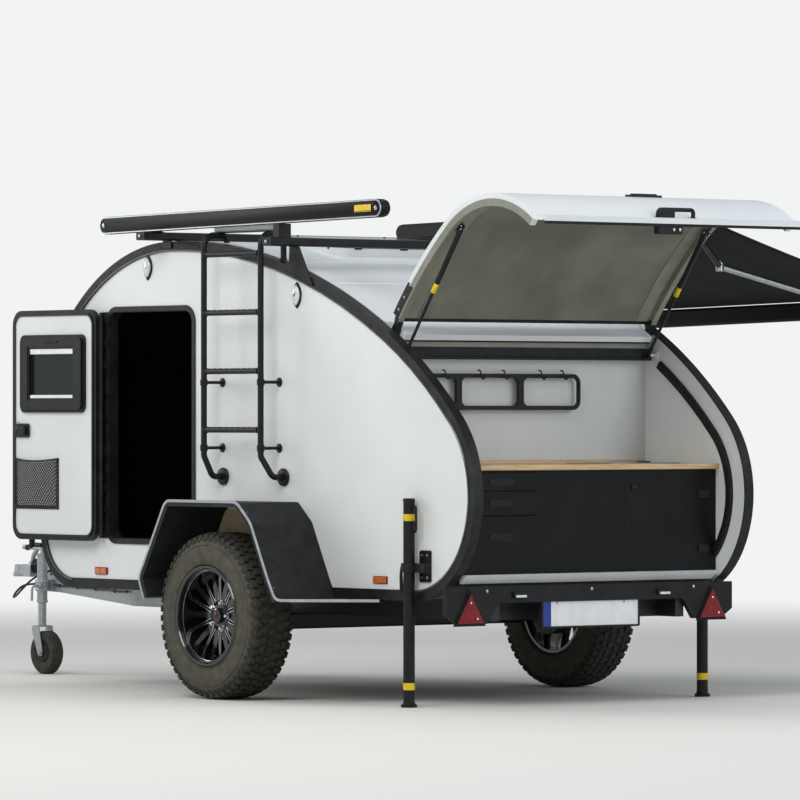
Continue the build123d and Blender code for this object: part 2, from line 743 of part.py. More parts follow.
def hatch_plane(up):
    """Plane of the roof window's frame, moved out of it by up."""
    x, z = on_hatch(0, up)
    lean = radians(HATCH_TILT)
    return Plane(origin=(x, 0, z), x_dir=(cos(lean), 0, -sin(lean)), z_dir=(sin(lean), 0, cos(lean)))


def hatch_side(y):
    """Plane across the width at y that leans with the roof window."""
    lean = radians(HATCH_TILT)
    return Plane(origin=(hatch_x, y, frame_top), x_dir=(cos(lean), 0, -sin(lean)), z_dir=(0, -1, 0))


def hatch_outline(inset, radius=0, mode=Mode.ADD):
    """Outline of the roof window drawn in by inset."""
    half = hatch_long / 2 - inset
    from_to(-half, half, inset - HATCH_HALF, HATCH_HALF - inset, radius=radius, mode=mode)


hatch_front = -hatch_long / 2
pin_along, pin_up = hatch_front + LID_PIN[0], LID_PIN[1]
lid_pin = on_hatch(pin_along, pin_up)
with BuildPart() as window_frame:
    with BuildSketch(hatch_plane(0)):
        hatch_outline(0, radius=HATCH_R)
        hatch_outline(HATCH_FRAME_WIDE + FIT, mode=Mode.SUBTRACT)
    extrude(amount=-150)
    # Hinge eyes on the frame's front edge, on both sides of each knuckle of the lid
    for y in LID_KNUCKLE_YS:
        for start in (y - LID_KNUCKLE / 2 - LID_EYE, y + LID_KNUCKLE / 2 + FIT):
            end = start + LID_EYE - FIT
            rod((lid_pin[0], start, lid_pin[1]), (lid_pin[0], end, lid_pin[1]), LID_PIN_R)
            with BuildSketch(hatch_side(end)):
                from_to(pin_along - LID_PIN_R, hatch_front + 2, -15, pin_up - 1)
            extrude(amount=LID_EYE - FIT)
    with BuildSketch(upright(HATCH_HALF)):
        with BuildLine():
            draw_closed(-SKIN_PROUD)
        make_face()
    extrude(amount=2 * HATCH_HALF, mode=Mode.SUBTRACT)
keep(window_frame.part, "roof_window_frame")

with BuildPart() as window_lid:
    with BuildSketch(hatch_plane(LID_ROOM)):
        hatch_outline(LID_IN, radius=HATCH_R - LID_IN)
    extrude(amount=HATCH_LID_HIGH, taper=12)
    fillet(window_lid.faces().sort_by(Axis.Z)[-1].edges(), 12)
    with BuildSketch(hatch_plane(LID_ROOM)):
        hatch_outline(LID_IN + LID_WALL, radius=HATCH_R - LID_IN - LID_WALL)
    extrude(amount=HATCH_LID_HIGH - LID_WALL, taper=14, mode=Mode.SUBTRACT)
    for y in LID_KNUCKLE_YS:
        end = y + LID_KNUCKLE / 2
        rod((lid_pin[0], end - LID_KNUCKLE, lid_pin[1]), (lid_pin[0], end, lid_pin[1]), LID_PIN_R)
        with BuildSketch(hatch_side(end)):
            from_to(pin_along, hatch_front + LID_IN + LID_WALL, 2, pin_up + 4)
        extrude(amount=LID_KNUCKLE)
keep(window_lid.part, "roof_window_lid")

# Tailgate: its own lines are the closed outline, turned up about the hinge
hinge = spot(rear_arcs[0][0], rear_arcs[0][1] - HINGE_IN, HINGE_LEAN)
gate_turn = radians(GATE_OPEN)


def gate_plane(y):
    """Plane at y that turns with the tailgate, measured from its hinge."""
    return Plane(origin=(hinge[0], y, hinge[1]), x_dir=(cos(gate_turn), 0, sin(gate_turn)), z_dir=(0, -1, 0))


def closed(point):
    """Where a point of the open tailgate lies when it is shut, measured from the hinge."""
    x, z = point[0] - hinge[0], point[1] - hinge[1]
    return (x * cos(gate_turn) + z * sin(gate_turn), z * cos(gate_turn) - x * sin(gate_turn))


def beside_hinge(along, out):
    """Place near the hinge when the tailgate is shut: along the roof line to the rear, and out of it."""
    lean = radians(HINGE_LEAN)
    return (along * cos(lean) + out * sin(lean), out * cos(lean) - along * sin(lean))


def lip_band(outer, inner):
    """Straight lower lip of the tailgate, which hangs plumb when it is shut."""
    for_end = [spot(low_rear[0], low_rear[1] - inset, GATE_END_LEAN) for inset in (outer, inner)]
    return [(x - hinge[0], z - hinge[1]) for x, z in for_end]


with BuildPart() as tailgate:
    with BuildSketch(gate_plane(GATE_HALF)):
        with BuildLine():
            draw_band(-SKIN_PROUD, GATE_THICK - SKIN_PROUD, GATE_END_LEAN, GATE_START_LEAN, about=hinge)
        make_face()
        outer_end, inner_end = lip_band(-SKIN_PROUD, GATE_THICK - SKIN_PROUD)
        Polygon(
            outer_end, inner_end, (inner_end[0], inner_end[1] - LIP), (outer_end[0], outer_end[1] - LIP - 6),
            align=None,
        )
    extrude(amount=2 * GATE_HALF)
    # A rib along each side, and the hinge arm that joins it to the tube
    rib_in, rib_out = GATE_THICK - SKIN_PROUD - 1, GATE_THICK - SKIN_PROUD + RIB_DEEP
    for _, sign in SIDES:
        with BuildSketch(gate_plane(GATE_HALF if sign > 0 else RIB_WIDE - GATE_HALF)):
            with BuildLine():
                draw_band(rib_in, rib_out, GATE_END_LEAN, GATE_START_LEAN, about=hinge)
            make_face()
            Polygon(*[beside_hinge(*corner) for corner in ARM_CORNERS], align=None)
            Circle(GATE_EYE_R)
            Circle(HINGE_R + FIT, mode=Mode.SUBTRACT)
        extrude(amount=RIB_WIDE)
    # Strut brackets stand on the ribs.
    pin = closed(STRUT_GATE_EYE)
    pin_lean = degrees(atan2(pin[0] + hinge[0] - last_centre[0], pin[1] + hinge[1] - last_centre[1]))
    rib_foot = last_radius - rib_out + 4
    feet = [spot(last_centre, rib_foot, pin_lean + turn) for turn in (-2, 2)]
    feet = [(x - hinge[0], z - hinge[1]) for x, z in feet]
    for _, sign in SIDES:
        inner_y = sign * (STRUT_Y + STRUT_R + 1.5)
        with BuildSketch(gate_plane(inner_y if sign < 0 else inner_y + BRACKET_THICK)):
            with Locations(pin):
                Circle(STRUT_EYE_R + 2)
            Polygon((pin[0] - 10, pin[1] - 6), (pin[0] + 10, pin[1] - 6), feet[1], feet[0], align=None)
        extrude(amount=BRACKET_THICK)
        rod(
            (STRUT_GATE_EYE[0], sign * (STRUT_Y - STRUT_EYE_THICK / 2), STRUT_GATE_EYE[1]),
            (STRUT_GATE_EYE[0], inner_y + sign, STRUT_GATE_EYE[1]),
            PIN_R,
        )
keep(tailgate.part, "tailgate")

with BuildPart() as tailgate_lining:
    with BuildSketch(gate_plane(GATE_HALF - RIB_WIDE - FIT)):
        with BuildLine():
            lining_outer = GATE_THICK - SKIN_PROUD + FIT
            draw_band(lining_outer, lining_outer + LINING, GATE_END_LEAN - 3, GATE_START_LEAN + 1.5, about=hinge)
        make_face()
    extrude(amount=2 * (GATE_HALF - RIB_WIDE - FIT))
keep(tailgate_lining.part, "tailgate_lining")

# Hinge tube under the roof's rear edge, flanged against the side walls
with BuildPart() as hinge_rail:
    tube_end = INNER_HALF - FIT
    rod((hinge[0], -tube_end, hinge[1]), (hinge[0], tube_end, hinge[1]), HINGE_R)
    for _, sign in SIDES:
        rod((hinge[0], sign * tube_end, hinge[1]), (hinge[0], sign * (GATE_HALF + 2), hinge[1]), GATE_EYE_R + 4)
keep(hinge_rail.part, "hinge_rail")

# Gas struts: cylinder pinned on the tailgate, rod held by a stud on the wall
gate_eye = Vector(STRUT_GATE_EYE[0], 0, STRUT_GATE_EYE[1])
body_eye = Vector(STRUT_BODY_EYE[0], 0, STRUT_BODY_EYE[1])
strut_way = (body_eye - gate_eye).normalized()
strut_case_end = gate_eye + strut_way * STRUT_CASE
for side, sign in SIDES:
    middle = Vector(0, sign * STRUT_Y, 0)
    flat = Vector(0, STRUT_EYE_THICK / 2, 0)
    with BuildPart() as strut_case:
        rod(gate_eye + middle - flat, gate_eye + middle + flat, STRUT_EYE_R)
        rod(gate_eye + middle, strut_case_end + middle, STRUT_R)
        rod(strut_case_end + middle, gate_eye + middle + strut_way * 20, STRUT_ROD_R + 0.5, mode=Mode.SUBTRACT)
        rod(gate_eye + middle - flat * 2, gate_eye + middle + flat * 2, PIN_R + 0.5, mode=Mode.SUBTRACT)
    keep(strut_case.part, f"strut_case_{side}")
    with BuildPart() as strut_rod:
        rod(body_eye + middle - flat, body_eye + middle + flat, STRUT_EYE_R)
        rod(body_eye + middle, gate_eye + middle + strut_way * (STRUT_CASE - 60), STRUT_ROD_R)
        rod(body_eye + middle - flat * 2, body_eye + middle + flat * 2, PIN_R + 0.5, mode=Mode.SUBTRACT)
    keep(strut_rod.part, f"strut_rod_{side}")

def leaf_plane(sign, turn, out):
    """Upright plane of a leaf turned about its pin, at a distance out of the shut position's pin line."""
    along = (cos(radians(turn)), sign * sin(radians(turn)), 0)
    outward = (-sign * sign * sin(radians(turn)), sign * cos(radians(turn)), 0)
    place = (pin_x + outward[0] * out * sign * sign, sign * pin_out + outward[1] * out, 0)
    return Plane(origin=place, x_dir=along, z_dir=Vector(*along).cross(Vector(0, 0, 1)))


# Turn of each door at rest
DOOR_TURN = {"left": DOOR_OPEN, "right": 0}
for side, sign in SIDES:
    turn = DOOR_TURN[side]
    thick_way = -sign
    in_line = leaf_in - pin_out
    window_middle = (leaf_wide / 2 + DOOR_PIN_ROOM, leaf_low + WINDOW_UP + WINDOW_SIZE[1] / 2)
    with BuildPart() as door:
        with BuildSketch(leaf_plane(sign, turn, in_line)):
            from_to(DOOR_PIN_ROOM, DOOR_PIN_ROOM + leaf_wide, leaf_low, leaf_high, radius=FRAME_R - 10)
            with Locations(window_middle):
                RectangleRounded(WINDOW_LIGHT[0] + 60, WINDOW_LIGHT[1] + 60, WINDOW_R, mode=Mode.SUBTRACT)
        extrude(amount=thick_way * LEAF_THICK)
        for low in knuckle_lows:
            pin_point = (pin_x, sign * pin_out)
            rod((*pin_point, low), (*pin_point, low + KNUCKLE), DOOR_PIN_R)
            with BuildSketch(leaf_plane(sign, turn, LEAF_THICK + in_line - 6)):
                from_to(0, DOOR_PIN_ROOM + 4, low, low + KNUCKLE)
            extrude(amount=thick_way * 6)
    keep(door.part, f"door_{side}")

    with BuildPart() as door_window:
        with BuildSketch(leaf_plane(sign, turn, in_line - 8)):
            with Locations(window_middle):
                RectangleRounded(*WINDOW_SIZE, WINDOW_R)
                RectangleRounded(*WINDOW_LIGHT, WINDOW_R - 8, mode=Mode.SUBTRACT)
        extrude(amount=thick_way * (8 - FIT))
        with BuildSketch(leaf_plane(sign, turn, in_line - 1)):
            with Locations(window_middle):
                RectangleRounded(WINDOW_LIGHT[0] + 58, WINDOW_LIGHT[1] + 58, WINDOW_R - 1)
                RectangleRounded(*WINDOW_LIGHT, WINDOW_R - 8, mode=Mode.SUBTRACT)
        extrude(amount=thick_way * (LEAF_THICK + 5))
        with BuildSketch(leaf_plane(sign, turn, in_line + LEAF_THICK - 4)):
            with Locations(window_middle):
                RectangleRounded(WINDOW_LIGHT[0] + 10, WINDOW_LIGHT[1] + 10, WINDOW_R - 8)
        extrude(amount=thick_way * 4)
    keep(door_window.part, f"door_window_{side}")

with BuildPart() as door_pocket:
    with BuildSketch(leaf_plane(-1, DOOR_OPEN, leaf_in - pin_out - POCKET_DEEP)):
        pocket_start = DOOR_PIN_ROOM + leaf_wide / 2 - 40
        from_to(pocket_start, pocket_start + POCKET[0], leaf_low + POCKET_UP, leaf_low + POCKET_UP + POCKET[1], radius=12)
    extrude(amount=POCKET_DEEP - FIT)
    with BuildSketch(leaf_plane(-1, DOOR_OPEN, leaf_in - pin_out - POCKET_DEEP + 5)):
        from_to(
            pocket_start + 6, pocket_start + POCKET[0] - 6, leaf_low + POCKET_UP + 6, leaf_low + POCKET_UP + POCKET[1] + 20,
        )
    extrude(amount=POCKET_DEEP - 10, mode=Mode.SUBTRACT)
keep(door_pocket.part, "door_pocket")

# Rear legs: a round post in a clamp on the wall, slid up for towing
for side, sign in SIDES:
    leg_x = LEG_X[side]
    with BuildPart() as leg:
        rod((leg_x, sign * LEG_Y, 0), (leg_x, sign * LEG_Y, LEG_TOP), LEG_R)
        rod((leg_x, sign * LEG_Y, 0), (leg_x, sign * LEG_Y, FOOT_THICK), FOOT_R)
    keep(leg.part, f"leg_{side}")
    with BuildPart() as leg_clamp:
        with BuildSketch(Plane.XY.offset(LEG_CLAMP_Z - LEG_CLAMP_HIGH / 2)):
            with Locations((leg_x, sign * LEG_Y)):
                Circle(LEG_R + LEG_ROOM + LEG_CLAMP_WALL)
            from_to(leg_x, leg_x + LEG_PLATE[1], *sorted((sign * (BODY_HALF + FIT), sign * LEG_Y)))
            with Locations((leg_x, sign * LEG_Y)):
                Circle(LEG_R + LEG_ROOM, mode=Mode.SUBTRACT)
        extrude(amount=LEG_CLAMP_HIGH)
        plate_outer = BODY_HALF + FIT + 8
        with BuildSketch(upright(plate_outer if sign > 0 else -BODY_HALF - FIT)):
            from_to(leg_x + LEG_PLATE[0], leg_x + LEG_PLATE[1], *LEG_PLATE[2:], radius=8)
        extrude(amount=8)
    keep(leg_clamp.part, f"leg_clamp_{side}")

# Ladder on the left wall, its tops bent in over the roof
with BuildPart() as ladder:
    for x in (LADDER_FRONT, LADDER_REAR):
        with BuildLine() as pole:
            FilletPolyline(
                (x + (34 if x > 0 else 10), -BODY_HALF - LADDER_PAD - FIT, LADDER_LOW - 28),
                (x + (34 if x > 0 else 10), -BODY_HALF - LADDER_PAD - 50, LADDER_LOW - 28),
                (x, -LADDER_Y, LADDER_LOW + 60),
                (x, -LADDER_Y, LADDER_TOP),
                (x, -BODY_HALF + WALL / 2, LADDER_TOP),
                (x, -BODY_HALF + WALL / 2, hull_at(x + LADDER_R, -TRIM_THICK) + LADDER_FOOT),
                radius=(26, 40, 55, 30),
            )
        with BuildSketch(Plane(origin=pole.line @ 0, z_dir=pole.line % 0)):
            Circle(LADDER_R)
        sweep()
        rod(
            (x + (34 if x > 0 else 10), -BODY_HALF - FIT, LADDER_LOW - 28),
            (x + (34 if x > 0 else 10), -BODY_HALF - LADDER_PAD - FIT, LADDER_LOW - 28),
            LADDER_PAD_R,
        )
    for z in RUNG_ZS:
        rod((LADDER_FRONT, -LADDER_Y, z), (LADDER_REAR, -LADDER_Y, z), LADDER_R - 1)
        foot_z = hull_at(x, -TRIM_THICK)
        rod((x, -BODY_HALF + WALL / 2, foot_z + FIT + 4), (x, -BODY_HALF + WALL / 2, foot_z + LADDER_FOOT + 2), LADDER_R + 3)
    with BuildSketch(Plane.XY.offset(LADDER_TOP + LADDER_R - 4)):
        from_to(LADDER_FRONT - 30, LADDER_REAR + 10, -INNER_HALF - 60, -INNER_HALF - 10, radius=8)
    extrude(amount=8)
keep(ladder.part, "ladder")

# Roof bars, each on two side plates
case_turn = atan2(CASE_REAR_Z - CASE_FRONT_Z, CASE_REAR - CASE_FRONT)
case_long = hypot(CASE_REAR - CASE_FRONT, CASE_REAR_Z - CASE_FRONT_Z)
# Name, middle, underside, and the reach of each side plate's foot to the front and to the rear
BARS = (
    ("front", BAR_FRONT_X, ROOF_Z + SKIN_PROUD + FIT, (-30, 30)),
    ("rear", BAR_REAR_X, BAR_REAR_LOW, (-35, 134)),
)
for name, x, low, feet in BARS:
    case_low = CASE_FRONT_Z + (x - 20 - CASE_FRONT) * tan(case_turn) - FIT
    with BuildPart() as bar:
        with BuildSketch(upright(BAR_HALF)):
            from_to(x - 30, x + 30, low, low + BAR_HIGH, radius=8)
        extrude(amount=2 * BAR_HALF)
        for _, sign in SIDES:
            base = BODY_HALF + TRIM_THICK + FIT + BAR_PLATE
            with BuildSketch(upright(base if sign > 0 else BAR_PLATE - base)):
                foot_front, foot_rear = [(x + reach, hull_at(x + reach, BAR_PLATE_LAP)) for reach in feet]
                Polygon((x - 30, low + 6), (x + 30, low + 6), foot_rear, foot_front, align=None)
            extrude(amount=BAR_PLATE)
            outer = CASE_Y - CASE_DEEP / 2
            with BuildSketch(upright(outer + CASE_DEEP + 6 if sign > 0 else -outer)):
                from_to(x - 20, x + 20, low + BAR_HIGH - 1, case_low)
            extrude(amount=CASE_DEEP + 6)
    keep(bar.part, f"roof_bar_{name}")

# Awning cases on the roof bars, their tails up


def case_plane(sign):
    """Cross plane at the front end of an awning case, looking along it."""
    return Plane(
        origin=(CASE_FRONT, sign * CASE_Y, CASE_FRONT_Z), x_dir=(0, 1, 0), z_dir=(cos(case_turn), 0, sin(case_turn)),
    )


for side, sign in SIDES:
    with BuildPart() as awning_case:
        with BuildSketch(case_plane(sign)):
            from_to(-CASE_DEEP / 2, CASE_DEEP / 2, 0, CASE_HIGH, radius=20)
            if side == "right":
                slot = (CASE_DEEP / 2 - 14, CASE_DEEP / 2 + 1, CASE_HIGH / 2 + 2, CASE_HIGH / 2 + 22)
                from_to(*slot, mode=Mode.SUBTRACT)
        extrude(amount=case_long)
    keep(awning_case.part, f"awning_case_{side}")

# The open awning: lead rail, two folding arms and the cloth
lead_turn = atan2(LEAD_REAR_Z - LEAD_FRONT_Z, CASE_REAR - CASE_FRONT)
with BuildPart() as awning_frame:
    lead_plane = Plane(
        origin=(CASE_FRONT, LEAD_Y, LEAD_FRONT_Z), x_dir=(0, 1, 0), z_dir=(cos(lead_turn), 0, sin(lead_turn)),
    )
    with BuildSketch(lead_plane):
        from_to(-LEAD_DEEP / 2, LEAD_DEEP / 2, 0, LEAD_HIGH, radius=14)
    extrude(amount=case_long)
    for way in (-1, 1):
        middle_x = (CASE_FRONT + CASE_REAR) / 2
        reach = (CASE_REAR - CASE_FRONT) / 2
        elbow = Vector(middle_x + way * (reach - 345), 1300, 1845 + way * 10)
        shoulder_x = middle_x + way * (reach - 60)
        shoulder_z = CASE_FRONT_Z + (shoulder_x - CASE_FRONT) * tan(case_turn) + CASE_HIGH / 2 - 22
        shoulder = Vector(shoulder_x, CASE_Y + CASE_DEEP / 2 + ARM_R + 5 + FIT, shoulder_z)
        wrist = Vector(middle_x + way * (reach - 300), LEAD_Y - LEAD_DEEP / 2 + 2, LEAD_FRONT_Z + LEAD_HIGH / 2 + 22 + way * 18)
        rod(shoulder, elbow, ARM_R - 3)
        rod(elbow, wrist, ARM_R)
        for joint, half in ((shoulder, 13), (elbow, 22)):
            rod(joint - Vector(0, 0, half), joint + Vector(0, 0, half), ARM_R + 5)
keep(awning_frame.part, "awning_frame")

with BuildPart() as canopy:
    cloth_start = Vector(0, CASE_Y + CASE_DEEP / 2 - 13, 0)
    sections = []
    for x, case_z, lead_z in ((CANOPY_FRONT, CASE_FRONT_Z, LEAD_FRONT_Z), (CANOPY_REAR, CASE_REAR_Z, LEAD_REAR_Z)):
        high = case_z + CASE_HIGH / 2 + 12
        low = lead_z + LEAD_HIGH + FIT
        with BuildSketch(across(x)):
            Polygon(
                (cloth_start.Y, high), (LEAD_Y - 10, low), (LEAD_Y - 10, low + CANOPY_THICK),
                (cloth_start.Y, high + CANOPY_THICK), align=None,
            )
    loft()
keep(canopy.part, "awning_canopy")

# Coupling: overrun housing on the drawbar, head, handle and hand brake
with BuildPart() as coupling:
    with BuildSketch(upright(HOUSING_HALF)):
        Polygon(
            (HOUSING_REAR, FLOOR_Z + FIT), (HOUSING_REAR, FLOOR_Z + 34), (HOUSING_FRONT + 30, FLOOR_Z + 66),
            (HOUSING_FRONT, FLOOR_Z + 60), (HOUSING_FRONT, FLOOR_Z - 40), (ARM_FRONT_X - 32, FLOOR_Z - 40),
            (ARM_FRONT_X - 32, FLOOR_Z + FIT), align=None,
        )
    extrude(amount=2 * HOUSING_HALF)
    shaft_z = FLOOR_Z + 50
    rod((HOUSING_FRONT + 2, 0, shaft_z), (HEAD_REAR - 30, 0, shaft_z), 20)
    with BuildSketch(Plane.XY.offset(BALL_Z - 6)):
        with Locations((BALL_X, 0)):
            Circle(42)
        from_to(BALL_X, HEAD_REAR, -27, 27)
    extrude(amount=56, taper=6)
    with Locations((BALL_X, 0, BALL_Z)):
        Sphere(BALL_R, mode=Mode.SUBTRACT)
    with BuildLine() as lever:
        FilletPolyline(
            (HEAD_REAR - 25, 0, BALL_Z + 45), (HEAD_REAR - 5, 0, BALL_Z + 100), (HEAD_REAR + 50, 0, BALL_Z + 140),
            (BALL_X + 10, 0, BALL_Z + 132), radius=(20, 14),
        )
    with BuildSketch(Plane(origin=lever.line @ 0, z_dir=lever.line % 0)):
        Circle(11)
    sweep()
    with BuildLine() as brake:
        FilletPolyline(
            (HOUSING_REAR - 60, HOUSING_HALF - 10, FLOOR_Z + 30), (HOUSING_REAR - 40, HOUSING_HALF - 10, FLOOR_Z + 85),
            (HOUSING_REAR + 190, HOUSING_HALF - 10, FLOOR_Z + 120), radius=(25),
        )
    with BuildSketch(Plane(origin=brake.line @ 0, z_dir=brake.line % 0)):
        Circle(10)
    sweep()
keep(coupling.part, "coupling")

with BuildPart() as gaiter:
    with BuildSketch(Plane.XZ):
        with BuildLine():
            pitch = (HEAD_REAR - HOUSING_FRONT + 4) / GAITER_FOLDS / 2
            start = HOUSING_FRONT - FIT
            tops = [(start + i * pitch, shaft_z + (34 if i % 2 else 24)) for i in range(2 * GAITER_FOLDS + 1)]
            Polyline((start, shaft_z + 20 + FIT), *tops, (tops[-1][0], shaft_z + 20 + FIT), close=True)
        make_face()
    revolve(axis=Axis((0, 0, shaft_z), (1, 0, 0)))
keep(gaiter.part, "coupling_gaiter")

# Jockey wheel in its clamp beside the drawbar
clamp_low = FLOOR_Z - 58
arm_slope = (RAIL_Y - ARM_FRONT_Y) / (ARM_BEND_X - ARM_FRONT_X)
arm_edge = ARM_FRONT_Y + (JOCKEY_X + 26 - ARM_FRONT_X) * arm_slope + RAIL_WIDE / 2 * hypot(1, arm_slope)
with BuildPart() as jockey_tube:
    rod((JOCKEY_X, JOCKEY_Y, JOCKEY_TUBE_LOW), (JOCKEY_X, JOCKEY_Y, JOCKEY_TUBE_HIGH), JOCKEY_TUBE_R)
    rod((JOCKEY_X, JOCKEY_Y, JOCKEY_TUBE_HIGH), (JOCKEY_X, JOCKEY_Y, JOCKEY_TUBE_HIGH + 14), JOCKEY_TUBE_R + 3)
    rod((JOCKEY_X, JOCKEY_Y, JOCKEY_TUBE_LOW - 1), (JOCKEY_X, JOCKEY_Y, JOCKEY_TUBE_HIGH - 10), JOCKEY_STEM_R + 0.5, mode=Mode.SUBTRACT)
    with BuildSketch(Plane.XY.offset(clamp_low)):
        with Locations((JOCKEY_X, JOCKEY_Y)):
            Circle(JOCKEY_TUBE_R + 9)
            Circle(JOCKEY_TUBE_R, mode=Mode.SUBTRACT)
    extrude(amount=52)
    with BuildSketch(Plane.XY.offset(clamp_low)):
        from_to(JOCKEY_X - 26, JOCKEY_X + 26, JOCKEY_Y + JOCKEY_TUBE_R + 3, -arm_edge - FIT)
    extrude(amount=52)
    rod((JOCKEY_X, JOCKEY_Y, JOCKEY_TUBE_HIGH + 10), (JOCKEY_X, JOCKEY_Y, JOCKEY_TUBE_HIGH + 40), 9)
    rod((JOCKEY_X, JOCKEY_Y, JOCKEY_TUBE_HIGH + 36), (JOCKEY_X - 90, JOCKEY_Y, JOCKEY_TUBE_HIGH + 36), 7)
    rod((JOCKEY_X - 84, JOCKEY_Y, JOCKEY_TUBE_HIGH + 30), (JOCKEY_X - 84, JOCKEY_Y, JOCKEY_TUBE_HIGH + 110), 12)
keep(jockey_tube.part, "jockey_tube")

fork_top = 2 * JOCKEY_WHEEL_R + 24
with BuildPart() as jockey_stem:
    rod((JOCKEY_X, JOCKEY_Y, fork_top + FIT), (JOCKEY_X, JOCKEY_Y, JOCKEY_TUBE_HIGH - JOCKEY_LIFT), JOCKEY_STEM_R)
keep(jockey_stem.part, "jockey_stem")

wheel_x = JOCKEY_X + JOCKEY_TRAIL
with BuildPart() as jockey_fork:
    with BuildSketch(upright(JOCKEY_Y + JOCKEY_WHEEL_WIDE / 2 + 5 + FORK_PLATE)):
        with BuildLine():
            Polyline(
                (JOCKEY_X - 26, fork_top), (JOCKEY_X + 26, fork_top), (wheel_x + 18, JOCKEY_WHEEL_R + 10),
                (wheel_x + 14, JOCKEY_WHEEL_R - 14), (wheel_x - 14, JOCKEY_WHEEL_R - 14), (JOCKEY_X - 26, fork_top - 30),
                close=True,
            )
        make_face()
    extrude(amount=JOCKEY_WHEEL_WIDE + 10 + 2 * FORK_PLATE)
    with BuildSketch(upright(JOCKEY_Y + JOCKEY_WHEEL_WIDE / 2 + 5)):
        from_to(JOCKEY_X - 80, wheel_x + 80, -10, fork_top - FORK_PLATE)
    extrude(amount=JOCKEY_WHEEL_WIDE + 10, mode=Mode.SUBTRACT)
    fork_half = JOCKEY_WHEEL_WIDE / 2 + 5 + FORK_PLATE + 6
    rod((wheel_x, JOCKEY_Y - fork_half, JOCKEY_WHEEL_R), (wheel_x, JOCKEY_Y + fork_half, JOCKEY_WHEEL_R), 8)
keep(jockey_fork.part, "jockey_fork")

with BuildPart() as jockey_wheel:
    with BuildSketch(Plane.YZ):
        with BuildLine():
            half = JOCKEY_WHEEL_WIDE / 2
            Polyline(
                (JOCKEY_Y - half, JOCKEY_WHEEL_R + 8.4), (JOCKEY_Y - half, JOCKEY_WHEEL_R + 34),
                (JOCKEY_Y - half + 12, JOCKEY_WHEEL_R + 44), (JOCKEY_Y - half, JOCKEY_WHEEL_R + 62),
                (JOCKEY_Y - half, 2 * JOCKEY_WHEEL_R - 10), (JOCKEY_Y - half + 10, 2 * JOCKEY_WHEEL_R),
                (JOCKEY_Y + half - 10, 2 * JOCKEY_WHEEL_R), (JOCKEY_Y + half, 2 * JOCKEY_WHEEL_R - 10),
                (JOCKEY_Y + half, JOCKEY_WHEEL_R + 62), (JOCKEY_Y + half - 12, JOCKEY_WHEEL_R + 44),
                (JOCKEY_Y + half, JOCKEY_WHEEL_R + 34), (JOCKEY_Y + half, JOCKEY_WHEEL_R + 8.4), close=True,
            )
        make_face()
    revolve(axis=Axis((0, 0, JOCKEY_WHEEL_R), (0, 1, 0)))
jockey_wheel.part = jockey_wheel.part.moved(Location((wheel_x, 0, 0)))
keep(jockey_wheel.part, "jockey_wheel")

# Lead from the drawbar to its plug, which is parked in a holder on the housing
lead_path = [Vector(*point) for point in LEAD_POINTS]
runs = [b - a for a, b in zip(lead_path, lead_path[1:])]
bends = []
for before, after in zip(runs, runs[1:]):
    half_turn = radians(before.get_angle(after)) / 2
    bends.append(0.45 * min(before.length, after.length) / tan(half_turn))
print("lead radii", [round(bend) for bend in bends])
with BuildPart() as lead:
    with BuildLine() as lead_line:
        FilletPolyline(*lead_path, radius=bends)
    with BuildSketch(Plane(origin=lead_line.line @ 0, z_dir=lead_line.line % 0)):
        Circle(LEAD_R)
    sweep()
lead_long = sum(edge.length for edge in lead_line.edges())
print("lead length", round(lead_long), "volume ratio", round(lead.part.volume / (lead_long * pi * LEAD_R**2), 3))
keep(lead.part, "lead")

with BuildPart() as plug:
    end = lead_path[-1]
    way = runs[-1].normalized()
    rod(end, end + way * 18, LEAD_R + 4)
    rod(end + way * 18, end + way * 66, 22)
keep(plug.part, "lead_plug")

# The origin of the finished model is under the middle of its box, without the lead and its plug.
solid_pieces = [piece for piece in pieces if piece.label not in ("lead", "lead_plug")]
boxes = [piece.bounding_box() for piece in solid_pieces]
low_corner = [min(getattr(box.min, name) for box in boxes) for name in "XYZ"]
high_corner = [max(getattr(box.max, name) for box in boxes) for name in "XYZ"]
shift = (-(low_corner[0] + high_corner[0]) / 2, -(low_corner[1] + high_corner[1]) / 2, -low_corner[2])
print("size", [round(high - low, 1) for low, high in zip(low_corner, high_corner)])
print("shift", *(round(value, 4) for value in shift))
print("hinge", *(round(value, 3) for value in hinge), "door pin", round(pin_x, 3), round(pin_out, 3))
print("lid pin", *(round(value, 3) for value in lid_pin), "nodes", len(pieces))

os.makedirs("parts", exist_ok=True)
for piece in pieces:
    placed = piece.moved(Location(shift))
    placed.label = piece.label
    export_step(placed, f"parts/{piece.label}.step")
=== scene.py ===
import math

import bmesh
import bpy
from mathutils import Matrix, Vector


